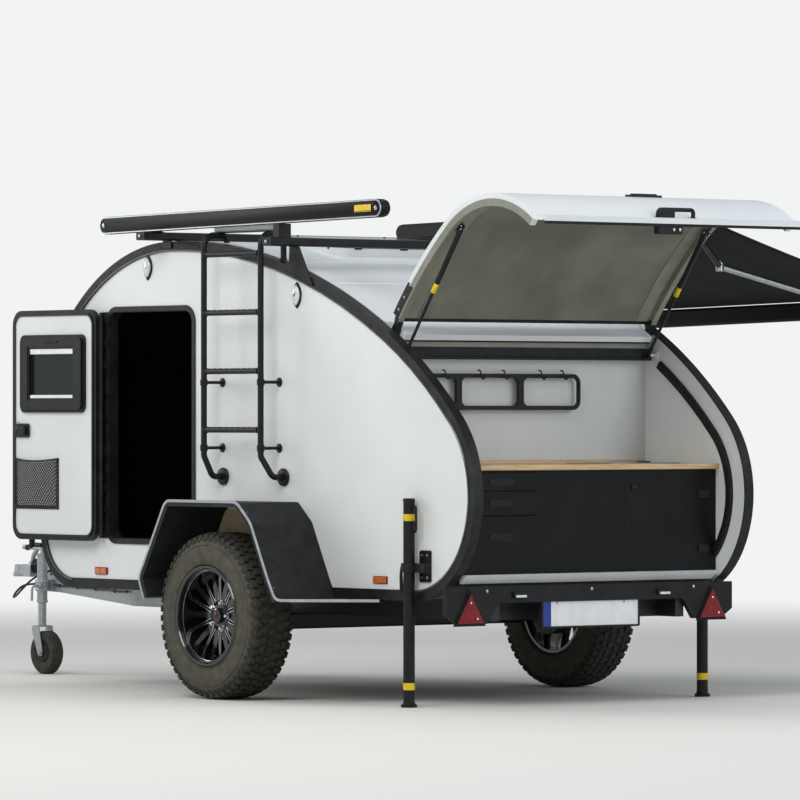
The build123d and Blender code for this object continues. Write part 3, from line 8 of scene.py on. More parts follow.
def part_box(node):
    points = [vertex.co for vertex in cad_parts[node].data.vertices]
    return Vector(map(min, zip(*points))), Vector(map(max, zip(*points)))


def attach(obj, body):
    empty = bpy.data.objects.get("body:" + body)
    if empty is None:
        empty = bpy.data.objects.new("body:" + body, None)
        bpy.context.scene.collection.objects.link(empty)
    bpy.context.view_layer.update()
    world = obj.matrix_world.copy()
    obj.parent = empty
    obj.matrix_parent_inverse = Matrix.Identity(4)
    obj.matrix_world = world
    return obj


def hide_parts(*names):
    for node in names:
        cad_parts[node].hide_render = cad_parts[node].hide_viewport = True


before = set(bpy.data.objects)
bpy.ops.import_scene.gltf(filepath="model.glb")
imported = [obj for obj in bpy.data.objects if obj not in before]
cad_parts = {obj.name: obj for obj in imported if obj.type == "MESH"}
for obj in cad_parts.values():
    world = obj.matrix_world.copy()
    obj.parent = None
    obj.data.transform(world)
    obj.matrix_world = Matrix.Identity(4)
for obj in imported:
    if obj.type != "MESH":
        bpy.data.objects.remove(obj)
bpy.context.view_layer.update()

bl_info = {
    "name": "Teardrop trailer",
    "version": (1, 0, 0),
    "blender": (4, 5, 0),
    "location": "3D View > Sidebar > Trailer",
    "description": "Finishes and details of a teardrop camping trailer",
    "category": "Object",
}

# The trailer's own frame in millimetres: X to the rear from the axle, Y to the right, Z up from the ground
tyre_low, tyre_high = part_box("tyre_left")
ORIGIN = Vector(((tyre_low.x + tyre_high.x) / 2, (tyre_low.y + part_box("tyre_right")[1].y) / 2, 0))
SIDES = {"left": -1, "right": 1}
UP = (0, 0, 1)
TO_REAR = (1, 0, 0)

# Body: half its width over the walls, the top of its side outline, and the height of its underside
HALF = 750
APEX = (-660, 1952)
FLOOR = 443
# Rounded stretches of the side outline: radius, and the outward normal's lean at the start and at the end
REAR = ((3050, 0, 30), (2050, 30, 46), (463, 46, 120))
FRONT = ((1080, 0, -42), (450, -42, -80))
NOSE_R = 250
# Tailgate: its hinge as X and Z, the roof line's lean there, how far it stands open, and the strut's two eyes
HINGE = (824.165, 1525.252)
HINGE_LEAN = math.radians(29.5)
GATE_OPEN = math.radians(86)
GATE_EYE = Vector((1250, 0, 1977))
BODY_EYE = Vector((875, 0, 1460))
STRUT_Y = 660
# Doors: hinge pin as X and Y, turn at rest, and the leaf's gap to its pin, width, foot and head
DOOR_PIN = (-1148, 781)
DOOR_TURN = {"left": math.pi, "right": 0.0}
LEAF_GAP, LEAF_WIDE, LEAF_FOOT, LEAF_HEAD = 10, 643, 649, 1668
LATCH_Z = 1134
# Doorway in the side wall: its middle as X and Z, width and height inside the cabin's lining
DOORWAY = (-816.5, 1158.5, 611, 989)
# Wheels: radius over the tread, the tyre's middle and flanks as Y, and the hub's outer face
WHEEL_R = 354
TYRE_Y, TYRE_IN, TYRE_OUT = 941, 830, 1052
HUB_FACE = 978
# Awning: front end of a case as X, Y and Z, its length, and how far case and lead rail rise to the rear
CASE = (-1064, 820, 1995)
CASE_LONG = 2017.2
CASE_LIFT, RAIL_LIFT, LIFT_RUN = 27, 42, 2017
CASE_RISE, RAIL_RISE = math.atan2(CASE_LIFT, LIFT_RUN), math.atan2(RAIL_LIFT, LIFT_RUN)
# Roof window: middle of its frame's top as X and Z, and how far it leans to the rear
HATCH = (-230, 1943.6, math.radians(4))
# Rear face of the valance
VALANCE_X = 1290
# Ladder's two stiles as X and Y, and the heights of its lower rungs
STILES, LADDER_Y = (-286, 121), -850
RUNGS = (1640, 1390, 1140)
# Rear legs as X and Y, and the jockey wheel's tube as X and Y
LEG_X, LEG_Y = {"left": 1063, "right": 1080}, 790
JOCKEY = (-2520, -150)

# Turned fastener heads: radius and height, from the edge of the head to its top
PAN_HEAD = [(5, 0), (5, 1.4), (3, 2.6), (0, 2.9)]
CAP_HEAD = [(6, 0), (6, 3), (4, 5)]
SMALL_HEAD = [(5, 0), (5, 2), (3, 3)]
BROAD_HEAD = [(7, 0), (7, 1.5), (4.5, 3.2), (0, 3.6)]

materials = {}


def linear(code):
    """Linear colour of an sRGB hex value."""
    parts = [int(code[i:i + 2], 16) / 255 for i in (0, 2, 4)]
    return [p / 12.92 if p <= 0.04045 else ((p + 0.055) / 1.055) ** 2.4 for p in parts] + [1.0]


def at(x, y, z):
    """Point of the trailer's own frame, in metres in the shared frame."""
    return ORIGIN + Vector((x, y, z)) / 1000


# Side outline


def from_centre(centre, radius, lean):
    """Point at a radius and a lean in degrees from an arc's centre, as X and Z."""
    lean = math.radians(lean)
    return centre[0] + radius * math.sin(lean), centre[1] + radius * math.cos(lean)


def outline_arcs():
    """Arcs of the outline from the rear over the roof to the nose: centre, radius, first and last lean."""
    chains = []
    for rows in (REAR, FRONT):
        before = rows[0][0]
        centre, arcs = (APEX[0], APEX[1] - before), []
        for radius, start, end in rows:
            centre = from_centre(centre, before - radius, start)
            arcs.append((centre, radius, start, end))
            before = radius
        chains.append(arcs)
    rear, front = chains
    # The lower rear corner's arc ends level with the underside
    centre, radius, _, lean = rear[-1]
    drop = math.cos(math.radians(lean))
    low = (centre[1] + radius * drop - FLOOR) / (1 + drop)
    arcs = [(from_centre(centre, radius - low, lean), low, 180, lean)]
    arcs += [(c, r, end, start) for c, r, start, end in rear[::-1]] + front
    # A straight run leads from the front arcs to the nose's corner
    centre, radius, _, lean = front[-1]
    end = from_centre(centre, radius, lean)
    cos, sin = math.cos(math.radians(lean)), math.sin(math.radians(-lean))
    nose_z = FLOOR + NOSE_R
    run = (end[1] - nose_z - NOSE_R * cos) / sin
    nose_x = end[0] - run * cos + NOSE_R * sin
    return arcs + [((nose_x, nose_z), NOSE_R, lean, -180)]


ARCS = outline_arcs()


def outline(inset, first=180, last=-180, pitch=3.0):
    """Points of the side outline drawn in by inset, between two leans."""
    points = []
    for centre, radius, high, low in ARCS:
        start, end = min(high, first), max(low, last)
        if start - end > 0.01:
            count = max(2, round((start - end) / pitch))
            for i in range(count + 1):
                point = from_centre(centre, radius - inset, start + (end - start) * i / count)
                if not points or math.dist(points[-1], point) > 0.5:
                    points.append(point)
    return points


def roof_at(x, inset=0):
    """Height of the outline over a place along the trailer."""
    points = outline(inset, 60, -60, 1.0)
    for a, b in zip(points, points[1:]):
        if min(a[0], b[0]) <= x <= max(a[0], b[0]):
            return a[1] + (b[1] - a[1]) * (x - a[0]) / (b[0] - a[0])
    return APEX[1]


# Places: each turns (along, up, out) into the trailer's own frame


def plain(x, y, z):
    """Point of the trailer's own frame."""
    return Vector((x, y, z))


def on_wall(side, depth=HALF):
    """Along the trailer, up, and out from a side wall's outer face."""
    sign = SIDES[side]
    return lambda u, v, w: Vector((u, sign * (depth + w), v))


def on_rear(x):
    """Across the trailer, up, and to the rear of a cross plane."""
    return lambda u, v, w: Vector((x + w, u, v))


def on_top(z):
    """Along the trailer, across it, and up from a level plane."""
    return lambda u, v, w: Vector((u, v, z + w))


def on_leaf(side):
    """Along a door's leaf from its pin, up, and in from its inner face, at the door's turn at rest."""
    sign, turn = SIDES[side], DOOR_TURN[side]
    along = Vector((math.cos(turn), sign * math.sin(turn), 0))
    out = Vector((-math.sin(turn), sign * math.cos(turn), 0))
    pin = Vector((DOOR_PIN[0], sign * DOOR_PIN[1], 0))
    return lambda u, v, w: pin + along * u + out * (-24 - w) + Vector((0, 0, v))


def on_gate(x, y, z):
    """Point of the open tailgate from where it lies when the tailgate is shut."""
    dx, dz = x - HINGE[0], z - HINGE[1]
    cos, sin = math.cos(GATE_OPEN), math.sin(GATE_OPEN)
    return Vector((HINGE[0] + dx * cos - dz * sin, y, HINGE[1] + dx * sin + dz * cos))


def shut(point):
    """Where a point of the open tailgate lies when the tailgate is shut, as X and Z."""
    dx, dz = point[0] - HINGE[0], point[2] - HINGE[1]
    cos, sin = math.cos(GATE_OPEN), math.sin(GATE_OPEN)
    return HINGE[0] + dx * cos + dz * sin, HINGE[1] + dz * cos - dx * sin


def by_hinge(along, y, out):
    """Point of the open tailgate near its hinge: along the shut roof line, across, and out of it."""
    cos, sin = math.cos(HINGE_LEAN), math.sin(HINGE_LEAN)
    return on_gate(HINGE[0] + along * cos + out * sin, y, HINGE[1] + out * cos - along * sin)


def on_hatch(u, v, w):
    """Along the roof window from its middle to the rear, across, and out of its frame's top."""
    x, z, lean = HATCH
    cos, sin = math.cos(lean), math.sin(lean)
    return Vector((x + u * cos + w * sin, v, z - u * sin + w * cos))


def way_and_up(rise):
    """Directions along and square to a bar that rises to the rear."""
    return Vector((math.cos(rise), 0, math.sin(rise))), Vector((-math.sin(rise), 0, math.cos(rise)))


def on_case(sign):
    """Along an awning case from its front end, up its height, and out to the side from its middle."""
    x, y, z = CASE
    way, up = way_and_up(CASE_RISE)
    return lambda u, v, w: Vector((x, sign * y, z)) + way * u + up * v + Vector((0, sign * w, 0))


def wheel_point(sign, turn, radius, y):
    """Point of a side's wheel, at a turn in radians from its top."""
    return Vector((radius * math.sin(turn), sign * y, WHEEL_R + radius * math.cos(turn)))


# Mesh building, in the trailer's own millimetres


def skin(bm, rings, mark=0, capped=True, closed=False):
    """Join rings of equally many points into a shell."""
    rows = [[bm.verts.new(point) for point in ring] for ring in rings]
    pairs = list(zip(rows, rows[1:])) + ([(rows[-1], rows[0])] if closed else [])
    faces = []
    for a, b in pairs:
        for i in range(len(a)):
            j = (i + 1) % len(a)
            faces.append(bm.faces.new((a[i], a[j], b[j], b[i])))
    if capped and not closed:
        faces += [bm.faces.new(rows[0][::-1]), bm.faces.new(rows[-1])]
    for face in faces:
        face.material_index = mark


def open_sheet(bm, rows):
    """Faces between rows of equally many points."""
    lines = [[bm.verts.new(point) for point in row] for row in rows]
    for a, b in zip(lines, lines[1:]):
        for j in range(len(a) - 1):
            bm.faces.new((a[j], a[j + 1], b[j + 1], b[j]))


def slab(bm, points, place, low, high, mark=0):
    """A plate with an outline, from one height over its place to another."""
    skin(bm, [[place(u, v, w) for u, v in points] for w in (low, high)], mark)


def across(bm, section, place, ends, mark=0):
    """A bar across the trailer: its section in a place's first and last way, and its two ends as Y."""
    skin(bm, [[place(a, y, b) for a, b in section] for y in ends], mark)


def strip(bm, lines, ends, mark=0, place=on_gate):
    """A sheet across the trailer that follows two outlines, from one Y to another."""
    first, last = ends
    rings = []
    for (x, z), (c, d) in lines:
        rings.append([place(x, first, z), place(x, last, z), place(c, last, d), place(c, first, d)])
    skin(bm, rings, mark)


def beading(bm, points, sign, depth, section, mark=0):
    """A profile along a side wall's outline: its section square to the outline and out to the side."""
    path = [Vector((x, sign * depth, z)) for x, z in points]
    rings = []
    for k, point in enumerate(path):
        way = (path[min(len(path) - 1, k + 1)] - path[max(0, k - 1)]).normalized()
        normal = Vector((-way.z, 0, way.x))
        rings.append([point + normal * a + Vector((0, sign * b, 0)) for a, b in section])
    skin(bm, rings, mark)


def turns(count):
    """Angles that divide a full turn evenly."""
    return [2 * math.pi * i / count for i in range(count)]


def rounded(wide, high, radius, count=5):
    """Outline of a rounded rectangle about its middle."""
    radius = max(0.2, min(radius, wide / 2 - 0.1, high / 2 - 0.1))
    points = []
    for corner, (sx, sy) in enumerate(((1, 1), (-1, 1), (-1, -1), (1, -1))):
        x, y = sx * (wide / 2 - radius), sy * (high / 2 - radius)
        for i in range(count + 1):
            turn = math.pi / 2 * (corner + i / count)
            points.append((x + radius * math.cos(turn), y + radius * math.sin(turn)))
    return points


def oblong(u0, v0, u1, v1):
    """Outline of a plain rectangle between two opposite corners."""
    return [(u0, v0), (u1, v0), (u1, v1), (u0, v1)]


def pad(bm, middle, size, radius, place, levels, mark=0, count=5):
    """A rounded plate whose outline draws in by each level's inset at that level's height."""
    rings = []
    for inset, height in levels:
        points = rounded(size[0] - 2 * inset, size[1] - 2 * inset, radius - inset, count)
        rings.append([place(middle[0] + u, middle[1] + v, height) for u, v in points])
    skin(bm, rings, mark)


def ring_plate(bm, middle, outer, inner, radius, place, low, high, mark=0, count=5):
    """A rounded rectangular frame: outer and inner size, from one height to another."""
    inner_radius = max(2, radius - (outer[0] - inner[0]) / 2)
    loops = []
    for size, r, heights in ((outer, radius, (low, high)), (inner, inner_radius, (high, low))):
        points = rounded(size[0], size[1], r, count)
        for height in heights:
            loops.append([place(middle[0] + u, middle[1] + v, height) for u, v in points])
    skin(bm, loops, mark, closed=True)


def tube(bm, points, radius, mark=0, count=12, flat=1.0):
    """A round bar along points, its radius one number or one for each point."""
    points = [Vector(p) for p in points]
    radii = [radius] * len(points) if isinstance(radius, (int, float)) else radius
    ways = [(b - a).normalized() for a, b in zip(points, points[1:])]
    tangents = [ways[0]] + [(a + b).normalized() for a, b in zip(ways, ways[1:])] + [ways[-1]]
    side = tangents[0].orthogonal().normalized()
    rings = []
    for point, way, r in zip(points, tangents, radii):
        side = (side - way * side.dot(way)).normalized()
        other = way.cross(side)
        rings.append([
            point + r * (math.cos(t) * side + flat * math.sin(t) * other) for t in turns(count)])
    skin(bm, rings, mark)


def lathe(bm, profile, origin, axis, mark=0, count=32):
    """A turned shape: radius and distance along the axis, from end to end."""
    axis, origin = Vector(axis).normalized(), Vector(origin)
    side = axis.orthogonal().normalized()
    other = axis.cross(side)
    rings = []
    for r, w in profile:
        r = max(r, 0.02)
        rings.append([
            origin + axis * w + r * (math.cos(t) * side + math.sin(t) * other) for t in turns(count)])
    skin(bm, rings, mark)


def bend(points, radius, count=5):
    """Points of a bent bar: straight runs with rounded corners."""
    points = [Vector(p) for p in points]
    path = [points[0]]
    for a, b, c in zip(points, points[1:], points[2:]):
        before, after = (a - b), (c - b)
        reach = min(radius, before.length * 0.45, after.length * 0.45)
        start, end = b + before.normalized() * reach, b + after.normalized() * reach
        for i in range(count + 1):
            t = i / count
            path.append(start * (1 - t) ** 2 + 2 * b * t * (1 - t) + end * t ** 2)
    return path + [points[-1]]


def hoop(bm, section, sign, mark=0):
    """A closed band round a side's wheel: its section as radius and Y."""
    skin(bm, [[wheel_point(sign, t, r, y) for r, y in section] for t in turns(72)], mark, closed=True)


def new_mesh(bm, name):
    """Turn what was built into a mesh."""
    mesh = bpy.data.meshes.new(name)
    bm.to_mesh(mesh)
    bm.free()
    return mesh


def put(name, data):
    """Put data into the scene as an object."""
    thing = bpy.data.objects.new(name, data)
    bpy.context.scene.collection.objects.link(thing)
    return thing


def keep(bm, name, body, finishes, angle=35):
    """Turn a finished mesh into a piece, which rides on a body if one is named."""
    bmesh.ops.remove_doubles(bm, verts=bm.verts, dist=0.005)
    bmesh.ops.recalc_face_normals(bm, faces=bm.faces)
    for vert in bm.verts:
        vert.co = at(*vert.co)
    mesh = new_mesh(bm, name)
    for finish in finishes:
        mesh.materials.append(materials[finish])
    mesh.shade_smooth()
    mesh.set_sharp_from_angle(angle=math.radians(angle))
    piece = put(name, mesh)
    return riding(piece, body) if body else piece


def settle(piece):
    """Apply a piece's modifiers to its mesh."""
    bpy.context.view_layer.update()
    made = bpy.data.meshes.new_from_object(piece.evaluated_get(bpy.context.evaluated_depsgraph_get()))
    piece.modifiers.clear()
    piece.data = made
    made.name = piece.name


def riding(piece, body):
    """Give a loose piece its body."""
    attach(piece, body)
    return piece


# Geometry Nodes


def repeat_tree(name, turned):
    """A tree that repeats its mesh: in a circle about Y if turned, else in a straight row."""
    tree = bpy.data.node_groups.new(name, "GeometryNodeTree")
    interface = tree.interface
    for label, kind in (
        ("Geometry", "Geometry"), ("Count", "Int"), ("Step", "Vector"), ("Centre", "Vector"),
        ("Material", "Material"),
    ):
        interface.new_socket(label, in_out="INPUT", socket_type=f"NodeSocket{kind}")
    interface.new_socket("Geometry", in_out="OUTPUT", socket_type="NodeSocketGeometry")
    inside = add(tree, "NodeGroupInput").outputs
    shape, count, centre = inside["Geometry"], inside["Count"], inside["Centre"]
    index = add(tree, "GeometryNodeInputIndex").outputs[0]
    scaled = {"operation": "SCALE"}
    away = add(tree, "ShaderNodeVectorMath", scaled, i0=inside["Step"], Scale=index).outputs[0]
    if turned:
        back = add(tree, "ShaderNodeVectorMath", scaled, i0=centre, Scale=-1.0).outputs[0]
        shape = add(tree, "GeometryNodeTransform", Geometry=shape, Translation=back).outputs[0]
        dots = add(tree, "GeometryNodePoints", Count=count, Position=centre).outputs[0]
        turning = {"Rotation": away}
    else:
        dots = add(tree, "GeometryNodePoints", Count=count, Position=away).outputs[0]
        turning = {}
    copies = add(tree, "GeometryNodeInstanceOnPoints", Points=dots, Instance=shape, **turning).outputs[0]
    real = add(tree, "GeometryNodeRealizeInstances", Geometry=copies).outputs[0]
    done = add(tree, "GeometryNodeSetMaterial", Geometry=real, Material=inside["Material"]).outputs[0]
    add(tree, "NodeGroupOutput", Geometry=done)
    return tree


def repeated(piece, count, step, finish, centre=None):
    """Repeat a loose piece in a row by a step in millimetres, or round a centre by a turn in radians."""
    turned = centre is not None
    name = "repeat_round" if turned else "repeat_row"
    tree = bpy.data.node_groups.get(name) or repeat_tree(name, turned)
    values = {
        "Count": count, "Step": Vector(step) if turned else Vector(step) / 1000,
        "Centre": centre if turned else Vector(), "Material": materials[finish],
    }
    modifier = piece.modifiers.new("Repeat", "NODES")
    modifier.node_group = tree
    for item in tree.interface.items_tree:
        if item.item_type == "SOCKET" and item.in_out == "INPUT" and item.name in values:
            modifier[item.identifier] = values[item.name]
    settle(piece)
    piece.data.materials.clear()
    piece.data.materials.append(materials[finish])


def round_wheel(piece, side, count, finish):
    """Repeat a loose piece evenly round a side's wheel, and let it turn with the wheel."""
    repeated(piece, count, (0, 2 * math.pi / count, 0), finish, centre=at(0, 0, WHEEL_R))
    riding(piece, f"wheel_{side}")


# Materials


def add(tree, kind, settings=None, **inputs):
    """Add a node with its settings, and its inputs as values or sockets to link, i0 and on by number."""
    node = tree.nodes.new(kind)
    for name, value in (settings or {}).items():
        setattr(node, name, value)
    for name, value in inputs.items():
        socket = node.inputs[int(name[1:])] if name[1:].isdigit() else node.inputs[name.replace("_", " ")]
        if isinstance(value, bpy.types.NodeSocket):
            tree.links.new(value, socket)
        else:
            socket.default_value = value
    return node


def blank(name, **sockets):
    """A new material with its shader: returns its tree and the shader's node."""
    material = bpy.data.materials.new(name)
    material.use_nodes = True
    tree = material.node_tree
    tree.nodes.clear()
    shader = add(tree, "ShaderNodeBsdfPrincipled", **sockets)
    add(tree, "ShaderNodeOutputMaterial", Surface=shader.outputs[0])
    materials[name] = material
    return tree, shader


def coat(name, colour, second, patch, rough, grit=1.0, depth=0.0, stretch=(1, 1, 1), spread=0.08, **sockets):
    """A finish that drifts between two colours over patches, with a fine relief: sizes in millimetres."""
    tree, shader = blank(name, **sockets)
    where = add(tree, "ShaderNodeTexCoord").outputs["Object"]
    where = add(tree, "ShaderNodeMapping", Vector=where, Scale=stretch).outputs[0]
    cloud = add(tree, "ShaderNodeTexNoise", Vector=where, Scale=1000 / patch, Detail=3.0, Roughness=0.55)
    ramp = add(tree, "ShaderNodeMapRange", Value=cloud.outputs["Fac"], From_Min=0.35, From_Max=0.65)
    mix = add(
        tree, "ShaderNodeMix", {"data_type": "RGBA"},
        i0=ramp.outputs[0], i6=linear(colour), i7=linear(second))
    tree.links.new(mix.outputs[2], shader.inputs["Base Color"])
    fine = add(tree, "ShaderNodeTexNoise", Vector=where, Scale=1000 / grit, Detail=2.0)
    gloss = add(
        tree, "ShaderNodeMapRange", Value=fine.outputs["Fac"], From_Min=0.3, From_Max=0.7,
        To_Min=max(0.02, rough - spread), To_Max=min(1.0, rough + spread))
    tree.links.new(gloss.outputs[0], shader.inputs["Roughness"])
    if depth:
        bump = add(tree, "ShaderNodeBump", Height=fine.outputs["Fac"], Distance=depth / 1000, Strength=0.9)
        tree.links.new(bump.outputs[0], shader.inputs["Normal"])
    return tree, shader


def woven(name, colour, second, pitch, rough, depth, holes=False, **sockets):
    """Threads that cross twice in each pitch, in millimetres, open between them if it has holes."""
    tree, shader = blank(name, Roughness=rough, **sockets)
    where = add(tree, "ShaderNodeTexCoord").outputs["Object"]
    parts = add(tree, "ShaderNodeSeparateXYZ", Vector=where).outputs
    along, added = parts[0], {"operation": "ADD"}
    slant = add(tree, "ShaderNodeMath", added, i0=parts[1], i1=parts[2]).outputs[0]
    ways = [along, slant]
    if holes:
        # A knotted net's meshes stand on their corners
        ways = [
            add(tree, "ShaderNodeMath", {"operation": kind}, i0=along, i1=slant).outputs[0]
            for kind in ("ADD", "SUBTRACT")
        ]
    threads = []
    for way in ways:
        phase = add(tree, "ShaderNodeMath", {"operation": "MULTIPLY"}, i0=way, i1=2 * math.pi * 1000 / pitch)
        wave = add(tree, "ShaderNodeMath", {"operation": "SINE"}, i0=phase.outputs[0])
        threads.append(add(tree, "ShaderNodeMath", {"operation": "ABSOLUTE"}, i0=wave.outputs[0]).outputs[0])
    weave = add(tree, "ShaderNodeMath", {"operation": "MAXIMUM"}, i0=threads[0], i1=threads[1]).outputs[0]
    cloud = add(tree, "ShaderNodeTexNoise", Vector=where, Scale=22.0, Detail=4.0).outputs["Fac"]
    shade = add(tree, "ShaderNodeMath", {"operation": "MULTIPLY"}, i0=weave, i1=cloud).outputs[0]
    ramp = add(tree, "ShaderNodeMapRange", Value=shade, From_Min=0.25, From_Max=0.62).outputs[0]
    mix = add(tree, "ShaderNodeMix", {"data_type": "RGBA"}, i0=ramp, i6=linear(second), i7=linear(colour))
    tree.links.new(mix.outputs[2], shader.inputs["Base Color"])
    bump = add(tree, "ShaderNodeBump", Height=weave, Distance=depth / 1000, Strength=1.0)
    tree.links.new(bump.outputs[0], shader.inputs["Normal"])
    if holes:
        strand = add(tree, "ShaderNodeMath", {"operation": "GREATER_THAN"}, i0=weave, i1=0.8).outputs[0]
        tree.links.new(strand, shader.inputs["Alpha"])


# Shader settings that many finishes share: the weak reflection of a dull plastic, and bare metal
DULL = {"Specular_IOR_Level": 0.25}
METAL = {"Metallic": 1.0}


def panel_finishes():
    """Skins and boards of the body."""
    # Fibreglass-faced panel: smooth gelcoat, faintly uneven, so reflections soften over hand-sized patches
    coat(
        "gelcoat panel", "DDE0E0", "D3D7D8", 620, 0.36, grit=60, depth=0.02, spread=0.04,
        Coat_Weight=0.25, Coat_Roughness=0.2)
    # Coil-painted sheet of roof and tailgate: the same white, flatter and with more gloss
    coat(
        "painted aluminium", "D9DEE1", "D3D8DC", 900, 0.3, grit=40, spread=0.02,
        Coat_Weight=0.3, Coat_Roughness=0.15)
    # Melamine-faced board: pressed smooth, so it is even, matt and pale grey
    coat("melamine board", "C6C9C9", "C1C4C4", 300, 0.5, grit=1.2, depth=0.02)
    # Compact laminate: near-black, with soft hand marks
    coat("compact laminate", "0B0C0D", "111213", 160, 0.34, grit=2.2, depth=0.015, Specular_IOR_Level=0.18)
    # Oiled bamboo worktop: long straight grain along the counter, some 3 mm across
    coat("oiled bamboo", "CBB088", "B3946A", 8, 0.46, grit=2.5, depth=0.05, stretch=(1, 0.05, 1))
    # Plywood under phenolic film: dull brown, its veneer just showing as relief
    coat("phenolic ply", "4A4038", "5A4D42", 30, 0.55, grit=2, depth=0.1)
    # Board left bare inside the mudguards: dry sanded tan
    coat("tan plate", "B9A98A", "A59574", 60, 0.5, grit=3, depth=0.05)


def rubber_finishes():
    """Edge profiles, seals and tyres."""
    # Extruded EPDM profile: satin black rubber with a dusty bloom
    coat("rubber edging", "141516", "232425", 60, 0.46, grit=1.4, depth=0.06, **DULL)
    # The edge trim's moulded bead: black rubber, coloured mid grey as a painted highlight, and glossy
    coat(
        "polished bead", "3C3F41", "474A4B", 60, 0.24, grit=4, spread=0.04,
        Coat_Weight=0.5, Coat_Roughness=0.12)
    # Extruded silicone: soft matt black that takes up dust; the same black paints the shadow line under the
    # tailgate's lip
    coat("silicone seal and shade", "0F1011", "1C1D1F", 30, 0.55, grit=1.5, depth=0.05, **DULL)
    # Vulcanised tread rubber: matt, with grey dust rubbed into it
    coat(
        "tyre rubber", "2B2A27", "3B3934", 34, 0.8, grit=2.0, depth=0.22, spread=0.12,
        Specular_IOR_Level=0.3)
    # The same rubber where road dust has dried on the sidewall
    coat("dusty sidewall", "55534A", "46443C", 46, 0.85, grit=2.4, depth=0.15, spread=0.1, **DULL)


def plastic_finishes():
    """Formed, moulded and extruded plastics, films and lenses."""
    # Vacuum-formed ABS: haircell grain of 1.2 mm, drawn twice as coarse so that it shows
    coat("formed ABS", "131415", "1C1D1E", 70, 0.5, grit=2.4, depth=0.12, **DULL)
    # Pebble-grained ABS of the mudguards: its deep grain scatters nearly all shine
    coat("grained ABS", "1A1B1D", "242628", 50, 0.62, grit=3.0, depth=0.35, spread=0.12, **DULL)
    # Extruded PVC: smooth black with soft streaks of light
    coat("black pvc sleeve", "0C0C0D", "171718", 20, 0.38, grit=1.5, depth=0.03, **DULL)
    # Dyed ABS cap on the hub: smooth and half glossy, dark red
    coat("dark red cap", "4A1216", "5A161A", 12, 0.3, grit=3, depth=0.01)
    # Moulded polycarbonate lenses: glossy outside, with a prism pattern of 3 to 4 mm that breaks the light
    coat("white lens", "DCE0E2", "C2C8CB", 14, 0.12, grit=3, depth=0.25, Coat_Weight=1.0)
    coat(
        "amber lens", "CE6612", "B5500E", 8, 0.2, grit=3.5, depth=0.5,
        Coat_Weight=1.0, Coat_Roughness=0.08)
    coat(
        "red lens", "86101A", "650810", 10, 0.3, grit=4, depth=0.5,
        Coat_Weight=0.3, Coat_Roughness=0.15, **DULL)
    # Vinyl film: flat yellow with a low, even sheen
    coat("yellow sticker", "E3C012", "D2AE0A", 18, 0.42, grit=3, depth=0.01)
    # Number plate: white sheeting pressed over aluminium, half glossy, with a printed blue band
    coat("white plate", "E2E5E6", "D6DADB", 60, 0.35, grit=4, depth=0.02)
    coat("blue band", "16379A", "122C7E", 20, 0.35, grit=4, depth=0.02)
    # Cast acrylic: green where the light runs along the sheet
    blank(
        "tinted acrylic", Base_Color=linear("9DBEB0"), Roughness=0.06, IOR=1.49, Transmission_Weight=0.75,
        Coat_Weight=0.3)
    # Cast acrylic dyed grey: clear reflections, a dim view through it
    blank("smoked acrylic", Base_Color=linear("30383A"), Roughness=0.05, IOR=1.49, Transmission_Weight=0.55)


def metal_finishes():
    """Coated, anodised and bare metals."""
    # Powder coat on steel: fine orange peel about 1.5 mm across
    coat("powder coated steel", "121314", "1B1C1D", 40, 0.42, grit=1.5, depth=0.05, **DULL)
    # Anodised extrusion: drawn across the trailer, so its highlights stretch that way
    coat(
        "anodised aluminium", "B9BDC0", "A9ADB1", 30, 0.34, grit=1.2, depth=0.01,
        stretch=(1, 0.04, 1), **METAL)
    # Brushed aluminium: fine lines along the trailer that pull the highlights out
    coat(
        "brushed aluminium", "C6C9CB", "B2B6B9", 24, 0.3, grit=1.0, depth=0.01,
        stretch=(0.05, 1, 1), **METAL)
    # Extrusion anodised black: even satin, drawn along the trailer
    coat(
        "black anodised", "0D0E0F", "121314", 90, 0.48, grit=1.0, depth=0.01,
        stretch=(0.04, 1, 1), Specular_IOR_Level=0.18)
    # Cast alloy sprayed black and lacquered: deep, sharp reflections
    coat(
        "gloss black alloy", "0B0B0C", "121213", 60, 0.16, grit=8, depth=0.004,
        Coat_Weight=0.5, Coat_Roughness=0.05)
    # The casting turned bright: fine tool marks blur what it reflects
    coat("machined alloy", "C9CBCD", "B5B8BB", 20, 0.22, grit=0.8, depth=0.01, **METAL)
    # Chrome plate: a mirror with hardly any blur
    coat("chrome", "D8DADB", "C4C7C9", 30, 0.1, grit=4, depth=0.002, **METAL)
    # Stainless steel: pressed bright, with a slight grain
    coat("stainless steel", "B7BABC", "A2A6A9", 10, 0.28, grit=0.8, depth=0.01, **METAL)


